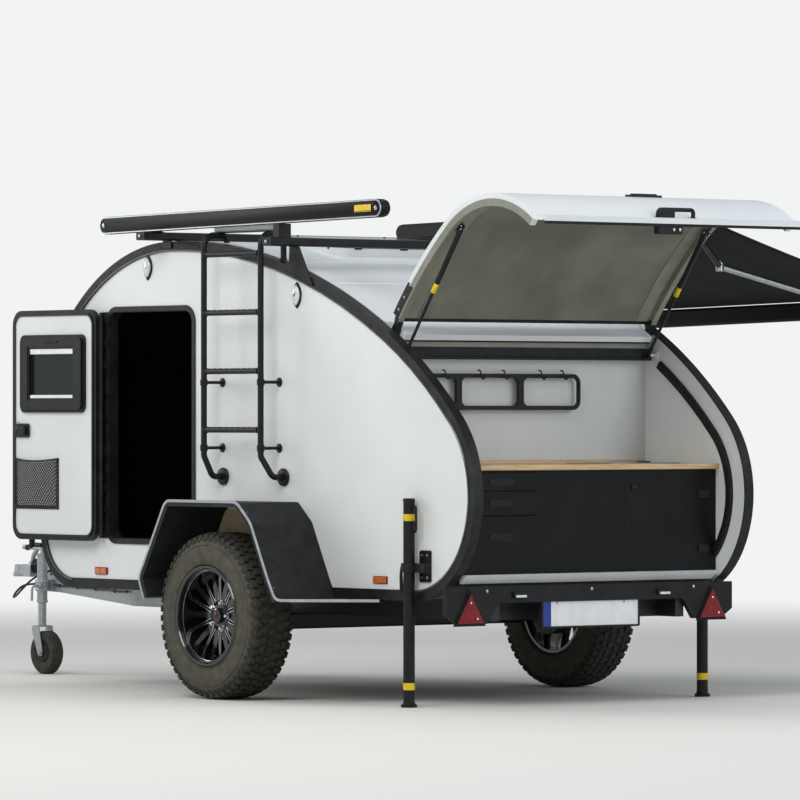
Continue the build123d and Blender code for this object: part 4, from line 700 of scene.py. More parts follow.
def galvanised_steel():
    """Steel dipped in zinc: 12 mm flakes over dull runs, and near black behind the drawbar as painted shade
    under the body.
    """
    tree, shader = coat("hot dip galvanised", "9CA1A3", "7F8588", 46, 0.46, grit=9, depth=0.04, Metallic=0.85)
    rgba = {"data_type": "RGBA"}
    where = add(tree, "ShaderNodeTexCoord").outputs["Object"]
    flakes = add(tree, "ShaderNodeTexVoronoi", Vector=where, Scale=1000 / 12)
    grey = add(tree, "ShaderNodeMapRange", Value=flakes.outputs["Distance"], To_Min=0.0, To_Max=0.9)
    mix = add(tree, "ShaderNodeMix", rgba, i0=grey.outputs[0], i6=linear("B4B9BB"), i7=linear("949A9D"))
    # Painted shade under the body: seal masks it from 1010 mm in front of the axle to the rear, over a soft
    # edge of 40 mm, where the zinc turns near black and loses its metal
    along = add(tree, "ShaderNodeSeparateXYZ", Vector=where).outputs[0]
    edge = ORIGIN.x - 1.010
    seal = add(tree, "ShaderNodeMapRange", Value=along, From_Min=edge - 0.02, From_Max=edge + 0.02).outputs[0]
    shaded_zinc = add(tree, "ShaderNodeMix", rgba, i0=seal, i6=mix.outputs[2], i7=linear("151617"))
    tree.links.new(shaded_zinc.outputs[2], shader.inputs["Base Color"])
    bare = add(tree, "ShaderNodeMath", {"operation": "MULTIPLY_ADD"}, i0=seal, i1=-0.8, i2=0.8).outputs[0]
    tree.links.new(bare, shader.inputs["Metallic"])


def soft_finishes():
    """Linings, cloths and the net."""
    # Foam-backed liner on the tailgate: soft grey-green sheet with slow stains
    coat("foam liner", "797A6F", "65665B", 260, 0.6, grit=4, depth=0.12)
    # The same sheet pressed down at its border: lighter and a little smoother
    coat("liner border", "85867B", "78796D", 120, 0.55, grit=4, depth=0.08)
    # Lining of the cabin: near black as painted shade for the unlit inside, its rough fibres drawn as relief
    coat("shade lining", "0D0E0F", "141516", 30, 0.95, grit=1.5, depth=0.3, Specular_IOR_Level=0.05)
    # Pleated polyester blind: chalky white
    coat("white blind", "E9ECEC", "DDE1E1", 40, 0.6, grit=3, depth=0.05)
    # Solution-dyed polyester: near black and dry, 0.6 mm threads drawn 1.5 mm apart so that they show
    woven(
        "polyester canopy", "191B1B", "121414", 3.0, 0.9, 0.12,
        Sheen_Weight=0.04, Sheen_Roughness=0.5, Specular_IOR_Level=0.12)
    # Brushed cotton: mottled grey with a soft bloom, threads drawn 1.7 mm apart so that they show
    woven("mattress cover", "6B6A70", "55545A", 3.4, 0.9, 0.3, Sheen_Weight=0.35, Sheen_Roughness=0.5)
    # Knotted net of black cord: a strand every 17 mm on the slant, so the door shows in 12 mm meshes
    woven("pocket net", "141414", "0C0C0C", 34.0, 0.75, 0.4, holes=True)
    # Nylon tape: tight black ribs 1 mm apart
    woven("nylon binding", "161617", "0E0E0F", 2.0, 0.7, 0.2)


def paint_cad():
    """Give each CAD node the finish of its slot."""
    by_slot = {
        "galvanised": "hot dip galvanised", "tyre_rubber": "tyre rubber", "rim_black": "gloss black alloy",
        "textured_black": "grained ABS", "floor_board": "phenolic ply", "white_panel": "gelcoat panel",
        "black_trim": "rubber edging", "pale_board": "melamine board", "black_steel": "powder coated steel",
        "cabinet_black": "compact laminate", "countertop_wood": "oiled bamboo",
        "aluminium": "anodised aluminium", "valance_black": "formed ABS", "mattress_fabric": "mattress cover",
        "lid_acrylic": "tinted acrylic", "lining_grey": "foam liner", "window_acrylic": "powder coated steel",
        "mesh_fabric": "pocket net", "case_black": "black anodised", "canopy_fabric": "polyester canopy",
        "soft_plastic": "black pvc sleeve", "jockey_rubber": "tyre rubber", "cable_black": "black pvc sleeve",
    }
    by_name = {
        "roof_skin": "painted aluminium", "tailgate": "painted aluminium", "sill": "painted aluminium",
        "strut_rod_left": "powder coated steel", "strut_rod_right": "powder coated steel",
    }
    for name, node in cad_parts.items():
        slot = node.data.materials[0].name.split(".")[0]
        finish = by_name.get(name, by_slot[slot])
        node.data.materials.clear()
        node.data.materials.append(materials[finish])


# Lead, awning, mattress and pocket


def make_lead():
    """Lead from the drawbar, hanging in a short loop to its plug in the parked holder."""
    outlet = (-2560, -48.6, 478)
    route = (
        outlet, (-2560, -78, 476), (-2590, -110, 462), (-2650, -128, 430), (-2720, -130, 385),
        (-2790, -118, 350), (-2850, -90, 345), (-2880, -50, 372), (-2870, -20, 400), (-2830, 0, 408),
        (-2790, 0, 408),
    )
    curve = bpy.data.curves.new("lead_cable", "CURVE")
    curve.dimensions = "3D"
    spline = curve.splines.new("NURBS")
    spline.points.add(len(route) - 1)
    for point, place in zip(spline.points, route):
        point.co = (*at(*place), 1)
    spline.order_u = 3
    spline.use_endpoint_u = True
    spline.resolution_u = 12
    curve.bevel_depth = 0.005
    curve.bevel_resolution = 5
    curve.use_fill_caps = True
    curve.materials.append(materials["black pvc sleeve"])
    cable = put("lead_cable", curve)
    riding(cable, "trailer")
    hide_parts("lead")
    bm = bmesh.new()
    # Tapered strain relief out of the housing, with its ribs
    relief = [(8.5, -1), (8.5, 6)]
    for i in range(5):
        r, foot = 8 - i * 0.55, 7 + i * 5
        relief += [(r, foot), (r, foot + 2), (r - 1.4, foot + 2.6), (r - 1.4, foot + 4.4)]
    lathe(bm, relief + [(5.4, 33)], outlet, (0, -1, -0.03), 0, 20)
    ends = keep(bm, "lead_strain_relief", "trailer", ["black pvc sleeve"])


def cloth_point(x, s, t, lift):
    """Point of the awning's cloth: X, share of its width from the front, share of its slope, and its lift."""
    case_y, case_z, rail_y, rail_z = 840, 2045.5, 2068, 1683.5
    high = (case_z + CASE_LIFT * s) * (1 - t) + (rail_z + RAIL_LIFT * s) * t
    # The cloth lies 2 mm over the line from case to rail
    return x, case_y + (rail_y - case_y) * t, high + 2 + lift


def make_canopy():
    """Awning cloth from the case to the lead rail, with a hem at each side."""
    sag = 1000 * bpy.context.scene.trailer_sizes.sag
    front, wide, columns, rows = -1050, 1990, 60, 34
    grid = []
    for i in range(rows + 1):
        t = i / rows
        line = []
        for j in range(columns + 1):
            s = j / columns
            slack = math.sin(math.pi * t) * (0.75 + 0.25 * math.cos(2 * math.pi * s))
            ripple = 1.2 * math.sin(14 * math.pi * s) * math.sin(math.pi * t)
            line.append(cloth_point(front + wide * s, s, t, ripple - sag * slack))
        grid.append(line)
    bm = bmesh.new()
    open_sheet(bm, grid)
    cloth = keep(bm, "canopy_cloth", None, ["polyester canopy"], angle=180)
    solid = cloth.modifiers.new("Solidify", "SOLIDIFY")
    solid.thickness, solid.offset = 0.0012, 0
    settle(cloth)
    riding(cloth, "trailer")
    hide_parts("awning_canopy")
    bm = bmesh.new()
    shares = [i / rows for i in range(rows + 1)]
    for s, x in ((0, front - 2), (1, front + wide + 2)):
        tube(bm, [cloth_point(x, s, t, -sag * math.sin(math.pi * t)) for t in shares], 3.2, 0, 8)
    hem = keep(bm, "canopy_hems", "trailer", ["nylon binding"], angle=180)


def make_arms():
    """Folding awning: lead rail with end caps, upper arms, silver forearms and their knuckles."""
    bm = bmesh.new()
    way, up = way_and_up(RAIL_RISE)
    start = Vector((CASE[0], 2080, 1600))

    def along_rail(sections, middle, mark):
        """A profile along the lead rail: place of each section, and its width, height and corner."""
        rings = []
        for u, wide, tall, radius in sections:
            points = rounded(wide, tall, radius)
            rings.append([
                start + way * u + Vector((0, middle[0] + p, 0)) + up * (middle[1] + q) for p, q in points])
        skin(bm, rings, mark)

    along_rail([(0, 43, 79, 14), (2, 46, 82, 14), (2015, 46, 82, 14), (2017.4, 43, 79, 14)], (0, 41), 0)
    for u in (0, 2008):
        along_rail([(u, 48, 84, 15), (u + 9, 48, 84, 15)], (0, 41), 1)
    # Bright lip along the rail's lower outer edge
    along_rail([(10, 7, 5, 2), (2006, 7, 5, 2)], (20, 8), 2)
    middle, reach = -55.5, 1008.5
    for sense in (-1, 1):
        x = middle + sense * (reach - 60)
        shoulder = Vector((x, 869.3, CASE[2] + (x - CASE[0]) * CASE_LIFT / LIFT_RUN + 16))
        elbow = Vector((middle + sense * (reach - 345), 1300, 1845 + sense * 10))
        wrist = Vector((middle + sense * (reach - 300), 2059, 1663 + sense * 18))
        tube(bm, [shoulder, shoulder.lerp(elbow, 0.5), elbow], 13, 1, 12, flat=0.8)
        tube(bm, [elbow, elbow.lerp(wrist, 0.5), wrist], 14.5, 2, 12, flat=0.72)
        for joint, half in ((shoulder, 13), (elbow, 21)):
            lathe(bm, [(14, -half), (19, -half + 3), (19, half - 3), (14, half)], joint, UP, 2, 20)
            lathe(bm, [(6, half - 1), (6, half + 3), (4, half + 4)], joint, UP, 3, 12)
        lathe(bm, [(10, -16), (13, -13), (13, 13), (10, 16)], wrist - Vector((0, 12, 0)), UP, 1, 16)
    piece = keep(bm, "awning_arms", "trailer", [
        "black anodised", "powder coated steel", "brushed aluminium", "stainless steel"])
    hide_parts("awning_frame")


def make_cases():
    """Awning cases: end caps with their bolts, bright lower edging and the blank yellow label."""
    half = CASE_LONG / 2
    bolt = [(10, 0), (10, 2.4), (8, 3.4), (4.6, 3.4), (4.2, 1.6), (0, 1.6)]
    for side, sign in SIDES.items():
        place = on_case(sign)
        bm = bmesh.new()
        levels = [(13, -29), (4, -21), (0, -8), (0, 24), (2, 28.4)]
        pad(bm, (half, 38), (CASE_LONG, 76), 38, place, levels, 0, 10)
        shell = keep(bm, f"awning_case_{side}_shell", "trailer", ["black anodised"])
        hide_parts(f"awning_case_{side}")
        bm = bmesh.new()
        # Raised face panel and the bright edging under it
        pad(bm, (half, 41), (CASE_LONG - 60, 58), 27, place, [(0, 28.8), (0, 30.2), (1.2, 31)], 0, 8)
        ring_plate(bm, (half, 38), (CASE_LONG - 4, 72), (CASE_LONG - 14, 63), 36, place, 27, 30.6, 1, 10)
        for u in (34, CASE_LONG - 34):
            lathe(bm, bolt, place(u, 38, 30.6), (0, sign, 0), 2, 24)
        if side == "left":
            label = CASE_LONG - 124
            pad(bm, (label, 40), (112, 30), 3, place, [(0, 30.9), (0, 31.6)], 3, 3)
            pad(bm, (label, 28.4), (106, 3.2), 1, place, [(0, 31.4), (0, 31.9)], 4, 3)
        keep(bm, f"awning_case_{side}_trim", "trailer", [
            "black anodised", "anodised aluminium", "stainless steel", "yellow sticker", "red lens"])


def swell(piece):
    """Blow a closed mesh up a little by a cloth simulation."""
    settings = piece.modifiers.new("Cloth", "CLOTH").settings
    settings.use_pressure = True
    settings.uniform_pressure_force = 4
    settings.effector_weights.gravity = 0
    settings.quality = 4
    scene = bpy.context.scene
    for number in range(1, 16):
        scene.frame_set(number)
    settle(piece)
    scene.frame_set(1)


def make_mattress():
    """Foam mattress swelled by a cloth simulation, then quilted on top."""
    low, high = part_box("mattress")
    centre = (low + high) / 2
    bm = bmesh.new()
    bm.from_mesh(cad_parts["mattress"].data)
    bmesh.ops.remove_doubles(bm, verts=bm.verts, dist=1e-5)
    for vert in bm.verts:
        for axis, inset in enumerate((0.006, 0.006, 0.004)):
            half = (high - low)[axis] / 2
            vert.co[axis] = centre[axis] + (vert.co[axis] - centre[axis]) * (half - inset) / half
    mattress = put("mattress_pad", new_mesh(bm, "mattress_pad"))
    remesh = mattress.modifiers.new("Remesh", "REMESH")
    remesh.mode, remesh.voxel_size = "VOXEL", 0.024
    settle(mattress)
    rest = [v.co.copy() for v in mattress.data.vertices]
    swell(mattress)
    # The swelling stays under 8 mm, and the seams of the quilt draw the top in by 3.5 mm
    most, seam, quilt_x, quilt_y = 0.008, 0.0035, 0.34, 0.351
    for vert, start in zip(mattress.data.vertices, rest):
        move = vert.co - start
        if move.length > most:
            vert.co = start + move.normalized() * most
        if start.z > high.z - 0.02:
            u, v = (start.x - low.x) / quilt_x, (start.y - low.y) / quilt_y
            away = min(abs(u - round(u)), abs(v - round(v)))
            vert.co.z -= seam * math.exp(-(away * 14) ** 2)
        for axis, room in enumerate((-0.001, -0.001, 0.003)):
            vert.co[axis] = min(max(vert.co[axis], low[axis] + 0.001), high[axis] + room)
    smooth = mattress.modifiers.new("Subdivision", "SUBSURF")
    smooth.levels = smooth.render_levels = 1
    settle(mattress)
    mattress.data.materials.clear()
    mattress.data.materials.append(materials["mattress cover"])
    mattress.data.shade_smooth()
    riding(mattress, "trailer")
    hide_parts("mattress")


def make_pocket():
    """Net pocket on the left door, bound along its edges, bellied out a little."""
    place = on_leaf("left")
    wide, tall, tape, belly = 343, 228, 16, 22
    start, foot = LEAF_GAP + LEAF_WIDE / 2 - 40, LEAF_FOOT + 135
    net_start, net_foot, net_wide, net_tall = start + tape / 2, foot + tape / 2, wide - tape, tall - 12
    columns, rows = 36, 24
    grid = []
    for i in range(rows + 1):
        v = i / rows
        line = []
        for j in range(columns + 1):
            u = j / columns
            bulge = math.sin(math.pi * u) ** 0.6 * (0.35 + 0.65 * math.sin(math.pi * (0.78 * v)))
            out = 4 + belly * bulge + 1.2 * math.sin(9 * math.pi * u) * v
            high = net_foot + net_tall * v - 10 * v * math.sin(math.pi * u)
            line.append(place(net_start + net_wide * u, high, out))
        grid.append(line)
    bm = bmesh.new()
    open_sheet(bm, grid)
    net = keep(bm, "door_pocket_net", None, ["pocket net"], angle=180)
    riding(net, "door_left")
    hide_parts("door_pocket")
    bm = bmesh.new()
    # Elastic rim that hangs a little in the middle, then the tape on the other three edges
    rim = []
    for j in range(columns + 1):
        bulge = math.sin(math.pi * j / columns)
        high = net_foot + tall - 12 - 10 * bulge
        rim.append(place(net_start + net_wide * j / columns, high, 5 + 21 * bulge ** 0.6 * 0.76))
    tube(bm, rim, 5, 0, 8, flat=0.5)
    for u in (start, start + wide - tape):
        slab(bm, oblong(u, foot, u + tape, foot + tall), place, 0.5, 3.5)
    slab(bm, oblong(start, foot, start + wide, foot + tape), place, 0.6, 3.8)
    for u in (net_start, net_start + net_wide):
        for v in (net_foot, net_foot + tall - tape):
            lathe(bm, [(6, 0), (6, 1.5), (4, 2.6), (0, 2.9)], place(u, v, 3.5), (0, -1, 0), 1, 14)
    binding = keep(
        bm, "door_pocket_binding", "door_left", ["nylon binding", "black pvc sleeve"])


# Wheels and mudguards

# Tread blocks of one pitch of ten degrees: corners as turn and distance from the tyre's middle, then the
# radius of foot and top, and how fast the top falls away to the side
TREAD = (
    (((0.5, 6), (5.6, 3), (7.8, 22), (6.2, 38), (1.2, 34)), 343, 353.7, 0.0),
    (((-1.0, 44), (4.2, 43), (6.0, 56), (5.0, 70), (-0.6, 70)), 342, 352.8, 0.2),
    (((2.4, 74), (8.9, 73), (8.7, 96), (2.2, 96)), 338, 351.2, 0.9),
)
# Blocks that bite down the sidewall: first and last turn, upper and lower radius, and how far they stand out
BITERS = ((2.6, 8.4, 339, 317, 2.6), (-1.6, 1.4, 335, 324, 1.6))


def carcass(bm, sign):
    """Turned tyre with dusty sidewalls, and two ribs on its outer side."""
    half = [
        (203.2, 14), (216, 6), (230, 2), (262, 0), (290, 1.5), (310, 5), (326, 13), (337, 25), (343, 45),
        (345, 80),
    ]
    profile = [(r, TYRE_IN + d) for r, d in half] + [(346, TYRE_Y)]
    profile += [(r, TYRE_OUT - d) for r, d in half[::-1]]
    skin(bm, [[wheel_point(sign, t, r, y) for t in turns(96)] for r, y in profile], 0, closed=True)
    for face in bm.faces:
        middle = face.calc_center_median()
        if 214 < math.hypot(middle.x, middle.z - WHEEL_R) < 333:
            face.material_index = 1
    for r, wide, y in ((222, 3, 1050.5), (300, 2.5, 1049.5)):
        hoop(bm, [(r - wide, y), (r, y + 2.7), (r + wide, y), (r, 1048)], sign, 1)


def tread_block(bm, sign, corners, low, high, fall, fine):
    """Block on the crown: a fine share of its turn, with a draft to its top."""
    middle = [sum(corner[k] for corner in corners) / len(corners) for k in (0, 1)]
    loops = []
    for radius, size in ((low, 1.0), (high, 0.92)):
        loop = []
        for turn, y in corners:
            turn = math.radians(middle[0] + (turn - middle[0]) * size) * fine
            y = middle[1] + (y - middle[1]) * size
            top = radius - fall * max(0.0, abs(y - TYRE_Y) - 70) ** 2 / 100
            loop.append(wheel_point(sign, turn, top, y))
        loops.append(loop)
    skin(bm, loops)


def side_biter(bm, sign, flip, off, biter, fine):
    """Block down one sidewall, at an offset in degrees."""
    first, last, high, low, proud = biter
    loops = []
    for out in (0.0, proud):
        loop = []
        for turn, r in ((first, high), (last, high - 1), (last - 0.8, low), (first + 0.8, low)):
            y = TYRE_Y + flip * (111 - (max(0, r - 300) / 39) ** 2 * 17 - 3 + out)
            loop.append(wheel_point(sign, math.radians(off + turn) * fine, r, y))
        loops.append(loop)
    skin(bm, loops)


def make_tyres():
    """Mud-terrain tyres: a turned carcass and one pitch of tread blocks repeated round it."""
    count = bpy.context.scene.trailer_sizes.lugs
    # The blocks are drawn for a pitch of ten degrees, then drawn together to the real one
    fine = 36 / count
    for side, sign in SIDES.items():
        bm = bmesh.new()
        carcass(bm, sign)
        tyre = keep(
            bm, f"tyre_{side}_carcass", f"wheel_{side}", ["tyre rubber", "dusty sidewall"])
        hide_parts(f"tyre_{side}")
        bm = bmesh.new()
        # The tyre's inner half is shifted by half a pitch
        for flip, off in ((1, 0), (-1, 5)):
            for block, low, high, fall in TREAD:
                corners = [(off + turn, TYRE_Y + flip * y) for turn, y in block]
                tread_block(bm, sign, corners, low, high, fall, fine)
            for biter in BITERS:
                side_biter(bm, sign, flip, off, biter, fine)
        tread = keep(bm, f"tyre_{side}_tread", None, ["tyre rubber"])
        round_wheel(tread, side, count, "tyre rubber")


def make_rims():
    """Rim details: machined edges on the spokes, nuts, cap, valve and the steps of the lip."""
    spoke_face = 972
    spine = [(64, 9), (128, 6.4), (193, 5), (193, 2.6), (128, 3.4), (64, 5)]
    wheel_nut = [(13, 0), (13, 1.2), (9.6, 1.6), (9.6, 11), (7.5, 13.5), (0, 14)]
    for side, sign in SIDES.items():
        bm = bmesh.new()
        # One spoke's raised, machined spine
        for flip in (-1, 1):
            slab(
                bm, [(u, flip * v) for u, v in spine],
                lambda u, v, w: Vector((v, sign * (spoke_face + w), WHEEL_R + u)), -0.5, 3.2)
        spines = keep(bm, f"rim_{side}_spines", None, ["machined alloy"])
        round_wheel(spines, side, 10, "machined alloy")
        bm = bmesh.new()
        axis = (0, sign, 0)
        lathe(bm, wheel_nut, wheel_point(sign, 0.31, 57, HUB_FACE), axis, 0, 6)
        nuts = keep(bm, f"rim_{side}_nuts", None, ["chrome"], angle=20)
        round_wheel(nuts, side, 5, "chrome")
        bm = bmesh.new()
        middle = Vector((0, sign * HUB_FACE, WHEEL_R))
        lathe(bm, [(34, 0), (34, 12), (31, 17), (24, 19), (22, 17.5), (0.4, 17)], middle, axis, 0, 40)
        lathe(bm, [(14, 16), (14, 18.4), (12, 20), (0, 20.8)], middle, axis, 1, 32)
        # Black flange over the tyre's bead
        hoop(bm, [(199, 1038), (199, 1049), (203, 1053.4), (212, 1053.4), (216.5, 1049), (216.5, 1038)], sign)
        # Stepped lip of the barrel, its inner step machined bright
        for r, y, mark in ((200.5, 1041, 0), (193, 1030, 2)):
            hoop(bm, [(r - 3, y), (r, y + 1.4), (r + 3, y), (r, y - 3)], sign, mark)
        valve = Vector((182 * math.sin(0.2), sign * 1000, WHEEL_R - 182 * math.cos(0.2)))
        lathe(bm, [(5, -8), (5, 14), (4, 18), (4, 26), (3, 28)], valve, (-0.1, sign, 0.35), 3, 12)
        keep(bm, f"rim_{side}_cap", f"wheel_{side}", [
            "gloss black alloy", "dark red cap", "machined alloy", "black pvc sleeve"])


def make_mudguards():
    """Bright edging round each mudguard, its step plate, the tan plate inside it and its fixing bolts."""
    bends = [(-409, 420), (-449, 505), (-365, 645), (-253, 836), (252, 836), (349, 753), (467, 525)]
    wide = 1000 * bpy.context.scene.trailer_sizes.blade
    section = ((3, -9), (3, 1.5), (3 - wide, 1.5), (3 - wide, -1), (1, -1), (1, -9))
    step = [(500, 752), (500, 1070), (524, 1072), (598, 1036), (836, 766), (836, 752)]
    bolt = [(7, 0), (7, 1.6), (5, 3.4), (0, 4)]
    for side, sign in SIDES.items():
        bm = bmesh.new()
        # The edge runs on along the step plate that joins the guard's rear foot to the wall
        line = [(x, sign * 1076.5, z) for x, z in bends]
        line += [(524, sign * 1076.5, 430), (600, sign * 1040, 430), (838, sign * 770, 430)]
        path = bend(line, 30, 6)
        rings = []
        for a, b in zip(path, path[1:] + [path[-1] * 2 - path[-2]]):
            way = (b - a).normalized()
            normal = Vector((way.z, 0, -way.x)).normalized()
            rings.append([a + normal * d + Vector((0, sign * w, 0)) for d, w in section])
        skin(bm, rings)
        slab(bm, step, lambda u, v, w: Vector((u, sign * v, w)), 429, 436, 3)
        slab(bm, [(-330, 640), (236, 640), (236, 796), (-296, 796)], on_wall(side, 752), 4, 8, 1)
        for x, z in ((-438, 472), (-401, 592), (-316, 737), (294, 792), (399, 642), (484, 482)):
            lathe(bm, bolt, (x, sign * 1055, z), (0, sign, 0), 2, 14)
        keep(bm, f"mudguard_{side}_edging", "trailer", [
            "brushed aluminium", "tan plate", "stainless steel", "grained ABS"])


# Lamps and plate


def side_lamps():
    """Side reflectors in their housings, and an almond-shaped marker lamp above the door and at the rear."""
    bm = bmesh.new()
    steps = [-1 + 2 * i / 24 for i in range(25)]
    right = [(33 * (1 - t * t) ** 0.9 * 0.95, 56 * t) for t in steps]
    almond = right + [(-a, b) for a, b in right[-2:0:-1]]
    for side, sign in SIDES.items():
        place = on_wall(side)
        for x, z in ((-1186, 515.5), (823.5, 519)):
            pad(bm, (x, z), (92, 32), 3, place, [(0, 0), (0, 5), (1, 6)], 2)
            for dx, wide in ((-24, 40), (21, 42)):
                pad(bm, (x + dx, z), (wide, 26), 2, place, [(0, 5.5), (0, 9), (1.5, 10.5)], 1)
        for x, z in ((-835, 1848), (246.5, 1710.5)):
            base = ((1.0, 0), (1.0, 5), (0.9, 6))
            lens = ((0.78, 5), (0.78, 11), (0.78 * 0.9, 14), (0.4, 17))
            for levels, mark in ((base, 0), (lens, 3)):
                rings = []
                for scale, height in levels:
                    rings.append([place(x + a * scale, z + b * scale, height) for a, b in almond])
                skin(bm, rings, mark)
            lathe(bm, [(9, 16), (8, 17.6), (0, 18.2)], place(x, z, 0), (0, sign, 0), 4, 16)
    keep(bm, "side_lamps", "trailer", [
        "powder coated steel", "amber lens", "red lens", "white lens", "chrome"])


def rear_triangles():
    """Reflective triangles, each on its black carrier with two screws."""
    bm, rear = bmesh.new(), on_rear(VALANCE_X)
    low, half = 345, 76
    tall = 2 * half * math.sin(math.radians(60))
    for y in (-655, 655):
        for share, back, front in ((0.9, 11.5, 14.5), (0.62, 14.4, 15.6)):
            foot = low + tall / 3 * (1 - share)
            points = [(y - half * share, foot), (y + half * share, foot), (y, foot + tall * share)]
            slab(bm, points, rear, back, front, 0)
        for dy, dz in ((0, 88), (34, 22)):
            lathe(bm, PAN_HEAD, rear(y + dy, low + dz, 14), TO_REAR, 1, 12)
        foot, top, wide = low - 8, low + tall + 8, half * 1.12
        slab(bm, [(y - wide, foot), (y + wide, foot), (y + 6, top), (y - 6, top)], rear, 0, 4, 2)
    keep(bm, "rear_triangles", "trailer", ["red lens", "chrome", "formed ABS"])


def number_plate():
    """Bare number plate with its blue band, in a black frame with two screws."""
    bm = bmesh.new()
    plate, z = on_rear(1279), 379.5
    ring_plate(bm, (0, z), (532, 121), (514, 104), 8, plate, 0.3, 7, 0)
    pad(bm, (0, z), (520, 110), 6, plate, [(0, 0.3), (0, 3.4), (0.8, 4)], 1)
    pad(bm, (-236, z), (44, 106), 3, plate, [(0, 3.8), (0, 4.4)], 2)
    for y in (-180, 180):
        lathe(bm, [(6, 3.6), (6, 5), (3.5, 6.4), (0, 6.6)], plate(y, 424, 0), TO_REAR, 3, 14)
    keep(bm, "number_plate", "trailer", [
        "formed ABS", "white plate", "blue band", "stainless steel"])


def plate_lamps():
    """Two lamps over the number plate, and the valance's screws."""
    bm, rear = bmesh.new(), on_rear(VALANCE_X)
    for y in (-390, 390):
        pad(bm, (y, 462), (74, 26), 5, rear, [(0, 0), (0, 10), (3, 14)], 0)
        pad(bm, (y, 456), (56, 10), 3, rear, [(0, 12), (0, 16)], 1)
    for y in (-560, 0, 560):
        lathe(bm, BROAD_HEAD, rear(y, 480, 0), TO_REAR, 2, 14)
    keep(bm, "plate_lamps", "trailer", ["formed ABS", "white lens", "stainless steel"])


# Doors and tailgate


def door_fittings(side):
    """Edge seal, inner panel, window surround with blinds, latch and outer handle of one leaf."""
    bm = bmesh.new()
    place = on_leaf(side)
    inward = (place(0, 0, 1) - place(0, 0, 0)).normalized()
    wide, tall = LEAF_WIDE, LEAF_HEAD - LEAF_FOOT
    x, z = LEAF_GAP + wide / 2, LEAF_FOOT + 738
    middle, window = (x, (LEAF_FOOT + LEAF_HEAD) / 2), (x, z)
    # Rubber edge seal round the leaf, and the raised rim inside it
    ring_plate(bm, middle, (wide + 4, tall + 4), (wide - 34, tall - 34), 66, place, -26, 0.8, 0, 8)
    ring_plate(bm, middle, (wide - 26, tall - 26), (wide - 48, tall - 48), 56, place, 1.5, 6, 0, 8)
    # Window surround: deep black frame with a rounded lip, blind rails at top and bottom
    for outer, inner, radius, foot, top in (
        ((500, 346), (470, 316), 32, 7, 12),
        ((474, 320), (358, 243), 26, 5, 22),
        ((368, 253), (342, 227), 16, 10, 19),
    ):
        ring_plate(bm, window, outer, inner, radius, place, foot, top, 1, 6)
    for dz, high in ((99, 24), (-102, 15)):
        pad(bm, (x, z + dz), (336, high), 3, place, [(0, 5), (0, 12), (1.5, 14)], 2)
    pad(bm, (x, z + 141), (120, 8), 3, place, [(0, 21), (0, 26), (1, 27)], 1)
    for dx in (-163, 163):
        pad(bm, (x + dx, z - 20), (7, 180), 3, place, [(0, 4), (0, 9)], 1)
    # Latch: base, paddle, lock and bright catch
    pad(bm, (572, LATCH_Z), (112, 62), 10, place, [(0, 5), (0, 9), (2, 11)], 3)
    pad(bm, (556, LATCH_Z), (52, 40), 8, place, [(0, 10), (0, 21), (5, 26)], 3)
    lathe(bm, [(17, 10), (17, 14), (14, 16), (0, 16.5)], place(604, LATCH_Z, 0), inward, 3, 24)
    pad(bm, (600, LATCH_Z + 34), (16, 10), 3, place, [(0, 9), (0, 13), (1, 14)], 4)
    # Outer handle and lock, on the face that is hidden at rest on the left
    pad(bm, (572, LATCH_Z), (120, 62), 10, place, [(2, -31), (0, -29), (0, -27)], 3)
    pad(bm, (556, LATCH_Z), (46, 34), 6, place, [(4, -35), (0, -31), (0, -28)], 3)
    lathe(bm, [(10, 0), (10, 2), (8, 3.4), (0, 3.6)], place(606, LATCH_Z, -30.5), -inward, 4, 20)
    keep(bm, f"door_{side}_fittings", f"door_{side}", [
        "rubber edging", "formed ABS", "white blind", "powder coated steel", "chrome"])
    bm = bmesh.new()
    pad(bm, window, (354, 239), 14, place, [(0, -0.5), (0, 3.0)], 0, 6)
    keep(bm, f"door_{side}_glazing", f"door_{side}", ["smoked acrylic"])


def make_doors():
    """Door fittings on both leaves, and the hinge line's rubber profile and screws on the walls."""
    for side, sign in SIDES.items():
        door_fittings(side)
        # Rubber profile that covers the hinge line from top to bottom
        bm = bmesh.new()
        wall = on_wall(side)
        slab(bm, oblong(-1178, 660, -1124, 1657), wall, 0, 4)
        x, y = DOOR_PIN
        tube(bm, [(x, sign * y, 662), (x, sign * y, 1655)], 10, 0, 16)
        keep(bm, f"door_hinge_profile_{side}", "trailer", ["rubber edging"])
        # Screws down the hinge side of the frame
        bm = bmesh.new()
        lathe(bm, [(4.2, -0.8), (4.2, -0.1), (3.4, 0.1), (0, 0.1)], wall(-1139, 700, 6), (0, sign, 0), 0, 10)
        screws = keep(bm, f"door_frame_{side}_screws", None, ["stainless steel"])
        repeated(screws, 15, (0, 0, 65.5), "stainless steel")
        riding(screws, "trailer")


